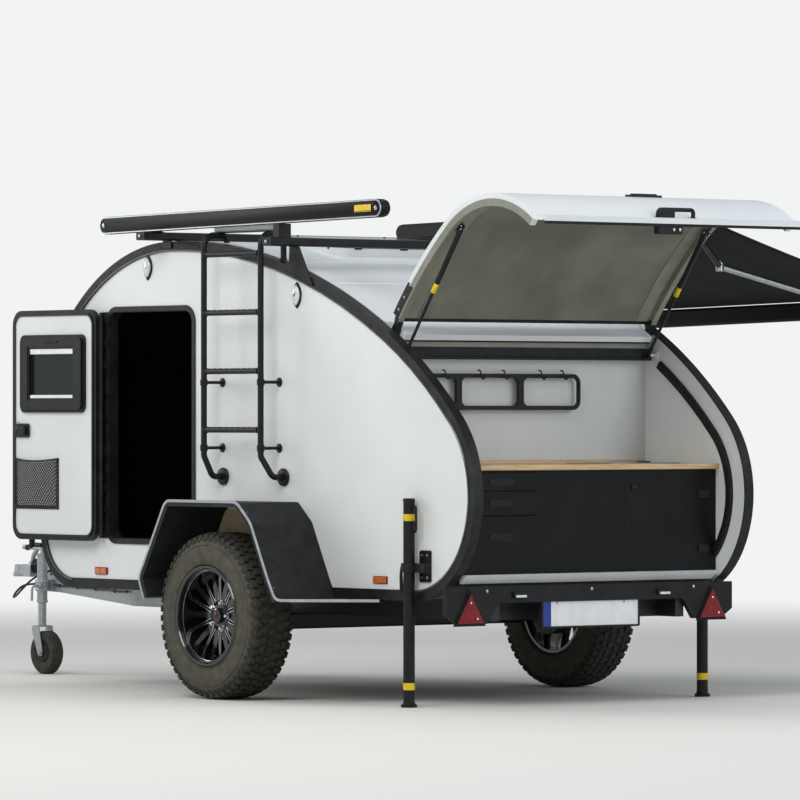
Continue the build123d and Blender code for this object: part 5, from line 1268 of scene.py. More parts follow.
def gate_border():
    """Border of the tailgate's lining, the liner round its side ribs, and the strips at its hinge."""
    bm = bmesh.new()
    # Lighter than the lining's middle, along the sides and the free edge
    sides = list(zip(outline(21.6, 121, 31.8, 2.0), outline(23.2, 121, 31.8, 2.0)))
    for sign in (-1, 1):
        strip(bm, sides, (sign * 672, sign * 598))
    strip(bm, zip(outline(21.6, 121, 108, 2.0), outline(23.2, 121, 108, 2.0)), (-590, 590))
    # Liner wrapped round the rib along each side: section as Y and inset
    wrap = (
        (702.2, 13.6), (702.2, 44), (674.3, 44), (674.3, 21.8), (674.9, 21.8), (674.9, 43.2), (701.2, 43.2),
        (701.2, 13.6),
    )
    lines = [(y, outline(inset, 123.4, 31.6, 2.0)) for y, inset in wrap]
    count = min(len(points) for _, points in lines)
    for sign in (-1, 1):
        skin(bm, [[on_gate(line[i][0], sign * y, line[i][1]) for y, line in lines] for i in range(count)])
    # The liner's last strip at the hinge side, and the thin black gasket that ends it
    for near, far, first, last, mark in ((13.2, 21.4, 32.8, 31.75, 2), (12.9, 22.4, 31.75, 31.3, 1)):
        strip(bm, zip(outline(near, first, last, 0.3), outline(far, first, last, 0.3)), (-674, 674), mark)
    keep(bm, "tailgate_border", "tailgate", ["liner border", "silicone seal and shade", "foam liner"])


def gate_sleeves():
    """Black sleeves over the hinge arms, the straps that hold them, and the struts' brackets."""
    bm = bmesh.new()
    sleeve = [(-11, -11), (-12, 10), (0, 13.5), (70, 13), (99, 20.5), (99, -8), (60, -12), (0, -13.5)]
    inner, outer = outline(36, 36.5, 32, 0.9), outline(-4, 36.5, 32, 0.9)
    # Bracket: a black cheek over the plate that stands on the rib, from its two feet up round the strut's eye
    pin = shut(GATE_EYE)
    centre, radius = ARCS[1][:2]
    lean = math.atan2(pin[0] - centre[0], pin[1] - centre[1])
    cos, sin = math.cos(lean), math.sin(lean)
    feet = [from_centre(centre, radius - 40, math.degrees(lean + turn)) for turn in (-0.11, 0.11)]
    cheek = [feet[0]]
    for a, b in ((-15, 0), (-9, 13), (9, 13), (15, 0)):
        cheek.append((pin[0] + a * cos - b * sin, pin[1] - a * sin - b * cos))
    cheek.append(feet[1])
    for sign in (-1, 1):
        across(bm, sleeve, by_hinge, (sign * 673.6, sign * 702.4))
        across(bm, inner + outer[::-1], on_gate, (sign * 700.5, sign * 703.4))
        for k in (0, 2, 4):
            a, b = (on_gate(line[k][0], sign * 703, line[k][1]) for line in (inner, outer))
            lathe(bm, [(6, 0), (6, 1.2), (4, 2.6), (0, 2.9)], a.lerp(b, 0.5), (0, sign, 0), 1, 12)
        across(bm, cheek, on_gate, (sign * 670.9, sign * 677.6))
    keep(
        bm, "tailgate_hinge_sleeves", "tailgate", ["powder coated steel", "stainless steel"])


def gate_edge():
    """White extrusion along the tailgate's lip, grab handle, latch box and the low catch on the crown."""
    bm = bmesh.new()
    corner = from_centre(ARCS[0][0], ARCS[0][1] + 9, 124)

    def by_lip(out, y, up):
        """Point near the tailgate's free edge: out of its skin, across, and up."""
        return on_gate(corner[0] + out, y, corner[1] + up)

    # Extrusion, a black strip behind it as painted shadow under the lip, and the white cover on the skin
    extrusion = [(3, -62), (3, -70), (-20, -68), (-20, -60), (-17, -60), (-17, -62)]
    across(bm, extrusion, by_lip, (-703, 703), 1)
    across(bm, [(-19, -58), (-19, -67), (-32, -66), (-32, -58)], by_lip, (-701, 701), 0)
    across(bm, [(0.6, -6), (3.2, -6), (3.2, -60), (0.6, -60)], by_lip, (-700, 700), 1)
    # Grab handle near the free edge, one end thick, standing off the skin
    first, last, up = -60, 130, 36
    grip = [by_lip(-2, first, -8), by_lip(up, first, -10), by_lip(up, last, -10), by_lip(-2, last, -8)]
    tube(bm, bend(grip, 24, 5), 9, 2, 12)
    thick = [(first, 0), (first + 84, 0), (first + 84, up - 2), (first + 4, up - 2)]
    slab(bm, thick, lambda u, v, w: by_lip(v, u, -w), 2, 18, 2)
    for y in (first, last):
        outward = by_lip(1, y, -9) - by_lip(0, y, -9)
        lathe(bm, [(15, 0), (15, 4), (12, 6)], by_lip(-0.5, y, -9), outward, 2, 20)
    # Latch box under the lip with its two bolts
    box = [(0, 0), (0, 36), (3, 40)]
    pad(bm, (-28, 0), (132, 36), 6, lambda u, v, w: by_lip(-24 - w, u, v - 42), box, 2)
    for y in (-14, 18):
        lathe(bm, [(7, 0), (7, 3), (4, 5)], by_lip(-44, y, -60), by_lip(0, y, -1) - by_lip(0, y, 0), 3, 16)
    # Low catch on the crown, seen over the open tailgate
    centre, radius = ARCS[1][:2]
    for spread, out in ((88, 9), (60, 14)):
        hump = ((86, -1), (86.4, out), (89.6, out), (90, -1))
        section = [from_centre(centre, radius + 9 + height, lean) for lean, height in hump]
        across(bm, section, on_gate, (100 - spread, 100 + spread), 2)
    keep(bm, "tailgate_edge", "tailgate", [
        "silicone seal and shade", "painted aluminium", "powder coated steel", "brushed aluminium"])


# Galley


def galley_seals():
    """Strips on the header under the tailgate's hinge, and the black seal along each inner wall."""
    bm = bmesh.new()
    rear = on_rear(842)
    # Dark line, grey strip, then the black gutter
    for z, tall, wide, mark, out in ((1516, 12, 1326, 0, 8), (1500, 24, 1326, 1, 5), (1463, 52, 1398, 0, 9)):
        pad(bm, (0, z), (wide, tall), 3, rear, [(0, -2), (0, out), (1, out + 1)], mark, 2)
    pad(bm, (0, 1444), (1390, 12), 5, rear, [(0, 8), (0, 14), (2, 17)], 0, 3)
    seal = ((-18, 8.1), (-18, -4.5), (-15, -6.5), (15, -6.5), (18, -4.5), (18, 8.1))
    points = [p for p in outline(88, 168, 30, 2.5) if p[0] > 830]
    for sign in (-1, 1):
        beading(bm, points, sign, 699.5, seal)
    keep(bm, "galley_seals", "trailer", ["silicone seal and shade", "liner border"])


def galley_front():
    """Cabinet front: panel joints, hinges, the knob and a row of screws, then each drawer's pull."""
    bm = bmesh.new()
    face = on_rear(1262)
    for y in (-254, 210):
        pad(bm, (y, 755), (4, 390), 1.5, face, [(0, 0), (0, 1.4)], 0, 2)
    for z in (640, 870):
        pad(bm, (640, z), (60, 34), 6, face, [(0, 0), (0, 4), (2, 6)], 1)
    pad(bm, (250, 900), (26, 26), 13, face, [(0, 0), (0, 6), (3, 9)], 1)
    for y in range(-680, 690, 97):
        lathe(bm, [(4, 0), (4, 0.8), (2.4, 2), (0, 2.2)], (1266, y, 524), TO_REAR, 2, 10)
    keep(bm, "galley_fittings", "trailer", [
        "silicone seal and shade", "powder coated steel", "stainless steel"])
    # Recessed pull with a screw at each side
    drawer, y = on_rear(1278.3), -475
    for name, z in (("drawer_top", 927), ("drawer_middle", 839), ("drawer_low", 700)):
        bm = bmesh.new()
        ring_plate(bm, (y, z), (128, 26), (112, 14), 12, drawer, 0, 3)
        pad(bm, (y, z), (114, 15), 7, drawer, [(0, -0.2), (0, 0.6)], 1)
        for dy in (-196, 196):
            lathe(bm, [(5, 0), (5, 1), (3, 2)], drawer(y + dy, z, 0), TO_REAR, 0, 12)
        keep(bm, f"{name}_pull", name, ["powder coated steel", "silicone seal and shade"])


def galley_top():
    """Worktop's joint and upstand, the lid over the hob's recess, and the rail's hooks."""
    bm = bmesh.new()

    def on_worktop(u, v, w):
        """Across the trailer, along it, and up from the worktop."""
        return Vector((v, u, 998 + w))

    slab(bm, oblong(-9, 812, -7, 1279), on_worktop, -0.4, 0.5)
    pad(bm, (0, 806), (1400, 10), 2, on_worktop, [(0, 0), (0, 13), (1.5, 15)], 1, 2)
    pad(bm, (380, 1040), (420, 300), 30, on_worktop, [(0, 0), (0, 3), (2, 5)], 2, 6)
    pad(bm, (380, 1176), (70, 14), 5, on_worktop, [(0, 4), (0, 9), (2, 11)], 3, 4)
    # Hooks, from the rail out, down and up again: X and Z
    hook = ((830, 1392), (848, 1392), (852, 1362), (872, 1352), (878, 1372))
    for y in (-560, -430, -240, -110, 90, 210):
        tube(bm, bend([(x, y, z) for x, z in hook], 9, 4), 3.2, 3, 8)
    keep(bm, "galley_top_fittings", "trailer", [
        "silicone seal and shade", "oiled bamboo", "stainless steel", "powder coated steel"])


# Roof and ladder


def roof_fittings():
    """Roof window's gasket and catches, and the roof skin's cross seams, each a low folded rib."""
    bm = bmesh.new()
    ring_plate(bm, (0, 0), (504, 704), (478, 678), 62, on_hatch, -4, -1, 0, 8)
    ring_plate(bm, (0, 0), (496, 696), (420, 620), 58, on_hatch, -0.2, 0.3, 1, 8)
    for y in (-250, 0, 250):
        pad(bm, (240, y), (26, 44), 6, on_hatch, [(0, -10), (0, -1), (2, 0.2)], 1)
    for x in (-60, 170):
        for sign in (-1, 1):
            lathe(bm, CAP_HEAD, on_hatch(x, sign * 350, -7), (0, sign, 0), 1, 12)
    for x in (-1080, -880, 120, 420):
        z = roof_at(x, -9)
        way, up = way_and_up(math.atan2(roof_at(x + 5, -9) - roof_at(x - 5, -9), 10))
        seam = ((-14, -0.5), (-11, 1.2), (11, 1.2), (14, -0.5))
        across(bm, seam, lambda a, y, b: Vector((x, y, z)) + way * a + up * b, (-700, 700), 2)
    keep(bm, "roof_fittings", "trailer", [
        "silicone seal and shade", "powder coated steel", "painted aluminium"])
    # Catches on the roof window's lid
    bm = bmesh.new()
    upward = on_hatch(0, 0, 1) - on_hatch(0, 0, 0)
    for y in (-240, 240):
        pad(bm, (200, y), (40, 30), 8, on_hatch, [(0, 26), (0, 30), (2, 31.5)])
        lathe(bm, [(6, 26), (6, 31), (4, 32)], on_hatch(-200, y, 0), upward, 0, 14)
    keep(bm, "roof_window_catches", "roof_window_lid", ["powder coated steel"])


def ladder_fittings():
    """Ladder's feet, clamps and stays on the wall, rung collars, treads and the step at its head."""
    bm = bmesh.new()
    wall, left = on_wall("left"), (0, -1, 0)
    foot = [(36.5, 2), (38, 5), (38, 9), (34, 13), (16, 16), (15, 22)]
    for x in (-276, 155):
        lathe(bm, foot, wall(x, 940, 0), left, 0, 32)
    for x in STILES:
        for z in (1063, 1343):
            ring = [(x + 16.5 * math.cos(t), LADDER_Y + 16.5 * math.sin(t)) for t in turns(20)]
            slab(bm, ring, plain, z - 13, z + 13, 1)
            tube(bm, [(x, -836, z), (x, -751, z)], 7, 1, 10)
            lathe(bm, [(20, 0), (20, 3), (17, 5)], (x, -750.5, z), left, 1, 20)
        for z in (1890, *RUNGS):
            sense = 1 if x < 0 else -1
            lathe(bm, [(15.5, 13), (15.5, 17), (12.6, 24)], (x, LADDER_Y, z), (sense, 0, 0), 1, 16)
    # Studs of each rung's tread
    for z in RUNGS:
        for x in range(-250, 87, 42):
            pad(bm, (x, LADDER_Y), (26, 8), 3, on_top(z + 11), [(0, 0), (0, 1.6), (0.8, 2.2)], 0, 2)
    # Bright top step across the ladder's head, and its flange in white paint as a painted reflection, where
    # bare metal would mirror the dark case
    pad(bm, (-102, -741), (440, 58), 8, on_top(1993), [(0, -0.5), (0, 1.6), (1, 2.4)], 2)
    pad(bm, (-102, 2004), (440, 27), 5, on_wall("left", 767), [(0, 0), (0, 2), (0.8, 3)], 3)
    for x in (-290, 84):
        lathe(bm, SMALL_HEAD, (x, -741, 1995), UP, 1, 12)
    keep(bm, "ladder_fittings", "trailer", [
        "black pvc sleeve", "powder coated steel", "brushed aluminium", "painted aluminium"])


def roof_bar_fittings():
    """Bolts of the roof bars' brackets, and the clamp ear between each bar and the case."""
    bm = bmesh.new()
    for x, z in ((-680, 1961.3), (236, 1917)):
        for sign in (-1, 1):
            lathe(bm, [(9, 0), (9, 3), (7, 6), (0, 6.5)], (x, sign * 905, z + 18), (0, sign, 0), 0, 6)
            for dx in (-12, 12):
                lathe(bm, [(5, 0), (5, 3), (3.5, 5)], (x + dx, sign * 763, z + 12), (0, sign, 0), 0, 6)
            pad(bm, (x, sign * 820), (44, 44), 8, on_top(z + 36), [(0, 0), (0, 4), (2, 6)], 1)
    keep(bm, "roof_bar_fittings", "trailer", ["stainless steel", "powder coated steel"])


# Struts, legs and drawbar


def make_struts():
    """Black cylinder ends, ball sockets and the yellow band on each gas strut."""
    reach = BODY_EYE - GATE_EYE
    way, long = reach.normalized(), reach.length
    sleeve = [(10.4, 14), (13, 18), (13, 34), (11.2, 38), (11.2, 283), (10.3, 284)]
    rod = [(5, 334), (6.8, 336), (6.8, long - 40), (9, long - 36), (9, long - 14), (7, long - 10)]
    for side, sign in SIDES.items():
        eye = GATE_EYE + Vector((0, sign * STRUT_Y, 0))
        bm = bmesh.new()
        lathe(bm, [(10.2, 284), (10.9, 285), (10.9, 328), (10.2, 329)], eye, way, 0, 20)
        lathe(bm, sleeve, eye, way, 1, 20)
        keep(bm, f"strut_case_{side}_bands", f"strut_case_{side}", [
            "yellow sticker", "powder coated steel"])
        bm = bmesh.new()
        lathe(bm, rod, eye, way, 0, 16)
        keep(bm, f"strut_rod_{side}_socket", f"strut_rod_{side}", ["powder coated steel"])


def make_legs():
    """Drop legs: yellow bands, cap, foot and pull handle, then the clamp's bolts, lever and rim."""
    bolt = [(7, 0), (7, 3), (5, 5.5), (0, 6)]
    for side, sign in SIDES.items():
        x, y = LEG_X[side], sign * LEG_Y
        axis = Vector((x, y, 0))
        bm = bmesh.new()
        for low, high in ((768, 796), (72, 101)):
            lathe(bm, [(24.1, low), (24.9, low + 0.6), (24.9, high - 0.6), (24.1, high)], axis, UP, 0, 28)
        lathe(bm, [(24, 845), (25.5, 848), (25.5, 858), (22, 861), (0, 861.5)], axis, UP, 1, 28)
        handle = [(x + 20, y, 826), (x + 46, y, 830), (x + 47, y, 724), (x + 20, y, 720)]
        tube(bm, bend(handle, 14, 4), 5, 1, 10)
        lathe(bm, [(30, 12), (25, 18), (24.2, 30)], axis, UP, 1, 28)
        keep(bm, f"leg_{side}_fittings", f"leg_{side}", [
            "yellow sticker", "powder coated steel"])
        bm = bmesh.new()
        for z in (536, 627):
            for dx in (46, 84):
                lathe(bm, bolt, (x + dx, sign * 758.3, z), (0, sign, 0), 1, 6)
        knob = Vector((x - 36, y, 575))
        tube(bm, [knob + Vector((8, 0, 0)), knob - Vector((14, 0, 0))], 7, 0, 10)
        lever = [knob + Vector((dx, 0, dz)) for dx, dz in ((-12, 4), (-18, -20), (-14, -96))]
        tube(bm, bend(lever, 16, 4), [6, 6, 6, 6, 6, 7, 8], 0, 10)
        ring_plate(bm, (x + 65, 581.5), (66, 126), (56, 116), 6, on_wall(side), 8.3, 11, 0, 4)
        keep(bm, f"leg_clamp_{side}_lever", "trailer", [
            "powder coated steel", "stainless steel"])


def coupling_fittings():
    """Moulded grip and bolts of the coupling, its pin, the gaiter's collar and the brake lever's grip."""
    bm = bmesh.new()
    grip = bend([(-2742, 0, 590), (-2800, 0, 588), (-2862, 0, 578)], 20, 4)
    tube(bm, grip, [12, 15, 16, 16, 16, 15, 14, 11], 0, 16)
    bolt = [(10, 0), (10, 1.5), (8, 1.6), (8, 8), (6, 9)]
    for x in (-2470, -2540, -2600):
        for sign in (-1, 1):
            lathe(bm, bolt, (x, sign * 48, 462), (0, sign, 0), 1, 6)
    lathe(bm, [(44, 0), (44.5, 4), (44.5, 10), (44, 14)], (-2900, 0, 446), UP, 1, 32)
    tube(bm, [(-2900, -30, 492), (-2900, 30, 492)], 7, 1, 12)
    lathe(bm, [(24, 0), (25, 3), (25, 9), (22, 12)], (-2666, 0, 493), (-1, 0, 0), 1, 24)
    # Brake lever's grip and gas spring eye
    brake = bend([(-2300, 38, 556), (-2250, 38, 561), (-2238, 38, 562)], 10, 3)
    tube(bm, brake, [10.5, 13, 13, 13, 13, 11], 0, 14)
    lathe(bm, [(15, -3), (15, 3), (12, 5)], (-2490, 54, 474), (0, 1, 0), 1, 20)
    keep(bm, "coupling_fittings", "trailer", ["black pvc sleeve", "hot dip galvanised"])


def jockey_fittings():
    """Jockey wheel's clamp with its handle, the tube's bright collars and the crank's black grip."""
    bm = bmesh.new()
    x, y = JOCKEY
    handle = [(x + 30, y - 34, 411), (x + 30, y - 64, 411), (x + 30, y - 78, 400), (x + 30, y - 80, 340)]
    tube(bm, bend(handle, 10, 4), 6, 0, 10)
    tube(bm, [(x + 14, y - 34, 411), (x + 46, y - 34, 411)], 9, 0, 12)
    for z in (392, 430):
        lathe(bm, [(33.2, -3), (34.5, 0), (33.2, 3)], (x, y, z), UP, 0, 28)
    lathe(bm, [(12.2, 0), (14, 6), (14, 66), (11, 74)], (x - 84, y, 581), UP, 1, 18)
    lathe(bm, [(24.2, 0), (26, 2), (26, 12), (24.2, 14)], (x, y, 330), UP, 0, 28)
    keep(bm, "jockey_clamp", "trailer", ["hot dip galvanised", "black pvc sleeve"])


def drawbar_fittings():
    """Nuts on the drawbar's joints to the floor rails, and the cable with its guides along the left arm."""
    bm = bmesh.new()
    nut = [(12, 0), (12, 1.5), (9, 1.6), (9, 9), (7, 10)]
    for sign in (-1, 1):
        for x, y in ((-1300, 483), (-1500, 400), (-2300, 150)):
            lathe(bm, nut, (x, sign * y, FLOOR), UP, 0, 6)
    start, end = Vector((-2450, -132, 415)), Vector((-1330, -510, 415))
    run = []
    for i in range(13):
        # The cable hangs 3 mm between its four guides
        slack = -3 * math.sin(math.pi * i * 4 / 12) ** 2
        run.append(start.lerp(end, i / 12) + Vector((0, 0, slack)))
    tube(bm, run, 5, 1, 10)
    for i in (1, 4, 7, 10):
        lathe(bm, [(7.5, -6), (8.5, -3), (8.5, 3), (7.5, 6)], run[i], end - start, 2, 12)
    keep(bm, "drawbar_fittings", "trailer", [
        "hot dip galvanised", "black pvc sleeve", "powder coated steel"])


def jockey_hub():
    """Hub caps of the jockey wheel, which trails behind its tube."""
    bm = bmesh.new()
    wheel = Vector((JOCKEY[0] + 38, JOCKEY[1], 100))
    for sense in (-1, 1):
        lathe(bm, [(44, 20), (40, 22), (30, 31), (14, 33.5), (13, 38)], wheel, (0, sense, 0), 0, 28)
    keep(bm, "jockey_hub", "jockey_wheel", ["powder coated steel"])


# Trim and lining


def edge_trim(side):
    """Screws along a wall's edge trim, and the rounded bead on its inner edge, coloured grey as a painted
    highlight.
    """
    sign = SIDES[side]
    bm = bmesh.new()
    points = outline(18, 176, -176, 1.0)
    screw, gap, since = [(4.6, 0), (4.6, 0.7), (2.8, 1.9), (0, 2.1)], 118, 60
    for a, b in zip(points, points[1:]):
        since += math.dist(a, b)
        if since >= gap:
            since = 0
            lathe(bm, screw, (b[0], sign * 756, b[1]), (0, sign, 0), 0, 10)
    keep(bm, f"edge_trim_{side}_screws", "trailer", ["black pvc sleeve"])
    bm = bmesh.new()
    # The bead's grey is a painted highlight along the black trim
    bead = ((-4.5, -1), (-4.2, 2), (-2, 3.8), (2, 3.8), (4.2, 2), (4.5, -1))
    beading(bm, outline(33, 179, -179, 3.0), sign, 756, bead)
    keep(bm, f"edge_trim_{side}_bead", "trailer", ["polished bead"])


def wall_shade_lining(bm, sign, hull):
    """Near-black lining on the inside of a side wall, painted shade for the unlit cabin, open at the doorway.
    """
    inner, thick = 707.5, 2.5
    x, z, wide, tall = DOORWAY
    door = [(u + x, v + z) for u, v in rounded(wide, tall, 50, 6)]
    loops = [[bm.verts.new((a, sign * inner, b)) for a, b in points] for points in (hull, door)]
    edges = [bm.edges.new((a, b)) for loop in loops for a, b in zip(loop, loop[1:] + loop[:1])]
    filled = bmesh.ops.triangle_fill(bm, edges=edges, use_beauty=True)
    faces = [f for f in filled["geom"] if isinstance(f, bmesh.types.BMFace)]
    inside = []
    for face in faces:
        middle = face.calc_center_median()
        if abs(middle.x - x) < wide / 2 - 1.5 and abs(middle.z - z) < tall / 2 - 1.5:
            inside.append(face)
    bmesh.ops.delete(bm, geom=inside, context="FACES_ONLY")
    grown = bmesh.ops.extrude_face_region(bm, geom=[f for f in faces if f.is_valid])
    for item in grown["geom"]:
        if isinstance(item, bmesh.types.BMVert):
            item.co.y -= sign * thick


def make_trim():
    """Screws and bead of the edge trim on both walls, the bead grey as a painted highlight, and the cabin's
    near-black lining of painted shade.
    """
    for side in SIDES:
        edge_trim(side)
    bm = bmesh.new()
    hull = [p for p in outline(46, 180, -180, 3.0) if p[0] < 780] + [(781, 476)]
    for sign in (-1, 1):
        wall_shade_lining(bm, sign, hull)
    # Painted shade lining on the bulkhead
    pad(bm, (0, 1060), (1396, 920), 4, lambda u, v, w: Vector((783.6 - w, u, v)), [(0, 0), (0, 2.5)], 0, 2)
    # Painted shade lining on ceiling and nose, open under the roof window
    lines = list(zip(outline(46, 60, -176, 2.0), outline(48.5, 60, -176, 2.0)))
    for first, last in ((-2000, -500), (45, 778)):
        strip(bm, [line for line in lines if first < line[0][0] < last], (-704, 704), place=plain)
    keep(bm, "cabin_shade_lining", "trailer", ["shade lining"])


# Stage


def studio_floor():
    """Pale floor that passes into the backdrop's colour far from the trailer."""
    colours = bpy.context.scene.trailer_colours
    tree, shader = blank("studio floor", Base_Color=colours.floor[:], Roughness=0.9)
    where = add(tree, "ShaderNodeTexCoord").outputs["Object"]
    cloud = add(tree, "ShaderNodeTexNoise", Vector=where, Scale=90.0, Detail=2.0).outputs["Fac"]
    bump = add(tree, "ShaderNodeBump", Height=cloud, Distance=0.0004)
    tree.links.new(bump.outputs[0], shader.inputs["Normal"])
    away = add(tree, "ShaderNodeVectorMath", {"operation": "LENGTH"}, i0=where).outputs["Value"]
    fade = add(
        tree, "ShaderNodeMapRange", {"interpolation_type": "SMOOTHSTEP"}, Value=away,
        From_Min=4.5, From_Max=13.0)
    glow = add(tree, "ShaderNodeEmission", Color=colours.backdrop[:])
    both = add(tree, "ShaderNodeMixShader", i0=fade.outputs[0], i1=shader.outputs[0], i2=glow.outputs[0])
    output = next(node for node in tree.nodes if node.type == "OUTPUT_MATERIAL")
    tree.links.new(both.outputs[0], output.inputs["Surface"])
    bm = bmesh.new()
    bmesh.ops.create_grid(bm, x_segments=2, y_segments=2, size=60)
    mesh = new_mesh(bm, "floor")
    mesh.materials.append(materials["studio floor"])
    put("floor", mesh)


def studio_world():
    """Soft light from all round, and the plain backdrop that only the camera and clear plastics see."""
    scene = bpy.context.scene
    scene.view_settings.view_transform = "Standard"
    backdrop = scene.trailer_colours.backdrop[:]
    world = bpy.data.worlds.new("studio")
    world.use_nodes = True
    scene.world = world
    tree = world.node_tree
    tree.nodes.clear()
    rays = add(tree, "ShaderNodeLightPath").outputs
    seen = add(
        tree, "ShaderNodeMath", {"operation": "MAXIMUM"},
        i0=rays["Is Camera Ray"], i1=rays["Is Transmission Ray"]).outputs[0]
    soft = add(tree, "ShaderNodeBackground", Color=linear("E8ECEF"), Strength=0.5).outputs[0]
    white = add(tree, "ShaderNodeBackground", Color=backdrop, Strength=1.0).outputs[0]
    both = add(tree, "ShaderNodeMixShader", i0=seen, i1=soft, i2=white).outputs[0]
    add(tree, "ShaderNodeOutputWorld", Surface=both)


def studio_lights():
    """Round lamps that face the trailer: place in millimetres, size in metres, power and tint."""
    strength = bpy.context.scene.trailer_sizes.studio
    target = at(-300, 0, 1000)
    for name, place, size, power, tint in (
        ("key", (3200, -7000, 6500), 5.0, 400, "FFFDF8"),
        ("fill", (9000, 2500, 4500), 5.0, 260, "F4F8FF"),
        ("front", (-7500, -4500, 4000), 4.0, 170, "FFFFFF"),
        ("top", (-500, 500, 8000), 6.0, 150, "FFFFFF"),
    ):
        light = bpy.data.lights.new(name, "AREA")
        light.shape, light.size, light.energy = "DISK", size, power * strength
        light.color = linear(tint)[:3]
        lamp = put(name, light)
        lamp.location = at(*place)
        lamp.rotation_euler = (target - lamp.location).to_track_quat("-Z", "Y").to_euler()


def photo_camera():
    """Camera at the photograph's place, which looks level from the left rear through a very long lens."""
    camera = bpy.data.cameras.new("camera")
    camera.lens, camera.sensor_width, camera.sensor_fit = 270, 36, "HORIZONTAL"
    camera.clip_end = 200
    view = put("camera", camera)
    azimuth, pitch = 0.90757, -0.0021667
    level = math.cos(pitch)
    back = Vector((math.sin(azimuth) * level, -math.cos(azimuth) * level, math.sin(pitch)))
    right = Vector((math.cos(azimuth), math.sin(azimuth), 0))
    turned = Matrix((right, back.cross(right), back)).transposed().to_4x4()
    turned.translation = at(20505.5, -16027.4, 1212.3)
    view.matrix_world = turned
    bpy.context.scene.camera = view


# Add-on


def hex_colour(label, code, description):
    """Colour property whose default is an sRGB hex value."""
    return bpy.props.FloatVectorProperty(
        name=label, description=description, subtype="COLOR", size=4, min=0, max=1, default=linear(code))


class TrailerSizes(bpy.types.PropertyGroup):
    """Sizes that a user would change"""
    lugs: bpy.props.IntProperty(
        name="Tread pitches", description="Blocks round each tyre", default=52, min=12, max=72)
    sag: bpy.props.FloatProperty(
        name="Canopy sag", description="How far the cloth hangs below a flat sheet", default=0.012,
        unit="LENGTH")
    blade: bpy.props.FloatProperty(
        name="Mudguard edging", description="Width of the bright edge", default=0.012, unit="LENGTH")
    studio: bpy.props.FloatProperty(
        name="Studio light", description="Strength of all studio lamps", default=1.0, min=0)


class TrailerColours(bpy.types.PropertyGroup):
    """Colours of the stage"""
    floor: hex_colour("Floor", "DADAD6", "Plain studio floor")
    backdrop: hex_colour("Backdrop", "F2F3F3", "What the camera sees behind the trailer")


class TRAILER_OT_finishes(bpy.types.Operator):
    """Make every finish, and give each CAD node its own"""
    bl_idname = "trailer.finishes"
    bl_label = "Finishes"

    def execute(self, context):
        panel_finishes()
        rubber_finishes()
        plastic_finishes()
        metal_finishes()
        galvanised_steel()
        soft_finishes()
        paint_cad()
        return {"FINISHED"}


class TRAILER_OT_lead(bpy.types.Operator):
    """Lead and its strain relief at the coupling"""
    bl_idname = "trailer.lead"
    bl_label = "Lead"

    def execute(self, context):
        make_lead()
        return {"FINISHED"}


class TRAILER_OT_canopy(bpy.types.Operator):
    """Awning cloth with its two hems"""
    bl_idname = "trailer.canopy"
    bl_label = "Awning cloth"

    def execute(self, context):
        make_canopy()
        return {"FINISHED"}


class TRAILER_OT_arms(bpy.types.Operator):
    """Folding arms and lead rail of the open awning"""
    bl_idname = "trailer.arms"
    bl_label = "Awning arms"

    def execute(self, context):
        make_arms()
        return {"FINISHED"}


class TRAILER_OT_cases(bpy.types.Operator):
    """Both awning cases with their trim"""
    bl_idname = "trailer.cases"
    bl_label = "Awning cases"

    def execute(self, context):
        make_cases()
        return {"FINISHED"}


class TRAILER_OT_mattress(bpy.types.Operator):
    """Foam mattress in the cabin"""
    bl_idname = "trailer.mattress"
    bl_label = "Mattress"

    def execute(self, context):
        make_mattress()
        return {"FINISHED"}


class TRAILER_OT_pocket(bpy.types.Operator):
    """Net pocket on the left door"""
    bl_idname = "trailer.pocket"
    bl_label = "Door pocket"

    def execute(self, context):
        make_pocket()
        return {"FINISHED"}


class TRAILER_OT_tyres(bpy.types.Operator):
    """Both tyres with their tread"""
    bl_idname = "trailer.tyres"
    bl_label = "Tyres"

    def execute(self, context):
        make_tyres()
        return {"FINISHED"}


class TRAILER_OT_rims(bpy.types.Operator):
    """Details of both rims"""
    bl_idname = "trailer.rims"
    bl_label = "Rims"

    def execute(self, context):
        make_rims()
        return {"FINISHED"}


class TRAILER_OT_mudguards(bpy.types.Operator):
    """Edging and bolts of both mudguards"""
    bl_idname = "trailer.mudguards"
    bl_label = "Mudguards"

    def execute(self, context):
        make_mudguards()
        return {"FINISHED"}


class TRAILER_OT_lamps(bpy.types.Operator):
    """Lamps, reflectors and the bare number plate"""
    bl_idname = "trailer.lamps"
    bl_label = "Lamps and plate"

    def execute(self, context):
        side_lamps()
        rear_triangles()
        number_plate()
        plate_lamps()
        return {"FINISHED"}


class TRAILER_OT_doors(bpy.types.Operator):
    """Fittings of both doors"""
    bl_idname = "trailer.doors"
    bl_label = "Doors"

    def execute(self, context):
        make_doors()
        return {"FINISHED"}


class TRAILER_OT_gate(bpy.types.Operator):
    """Lining border, hinge sleeves and edge of the tailgate"""
    bl_idname = "trailer.gate"
    bl_label = "Tailgate"

    def execute(self, context):
        gate_border()
        gate_sleeves()
        gate_edge()
        return {"FINISHED"}


class TRAILER_OT_galley(bpy.types.Operator):
    """Seals, fittings, drawer pulls and hooks of the galley"""
    bl_idname = "trailer.galley"
    bl_label = "Galley"

    def execute(self, context):
        galley_seals()
        galley_front()
        galley_top()
        return {"FINISHED"}


class TRAILER_OT_roof(bpy.types.Operator):
    """Fittings of roof, roof window, ladder and roof bars"""
    bl_idname = "trailer.roof"
    bl_label = "Roof and ladder"

    def execute(self, context):
        roof_fittings()
        ladder_fittings()
        roof_bar_fittings()
        return {"FINISHED"}


class TRAILER_OT_struts(bpy.types.Operator):
    """Bands and sockets of the gas struts"""
    bl_idname = "trailer.struts"
    bl_label = "Gas struts"

    def execute(self, context):
        make_struts()
        return {"FINISHED"}


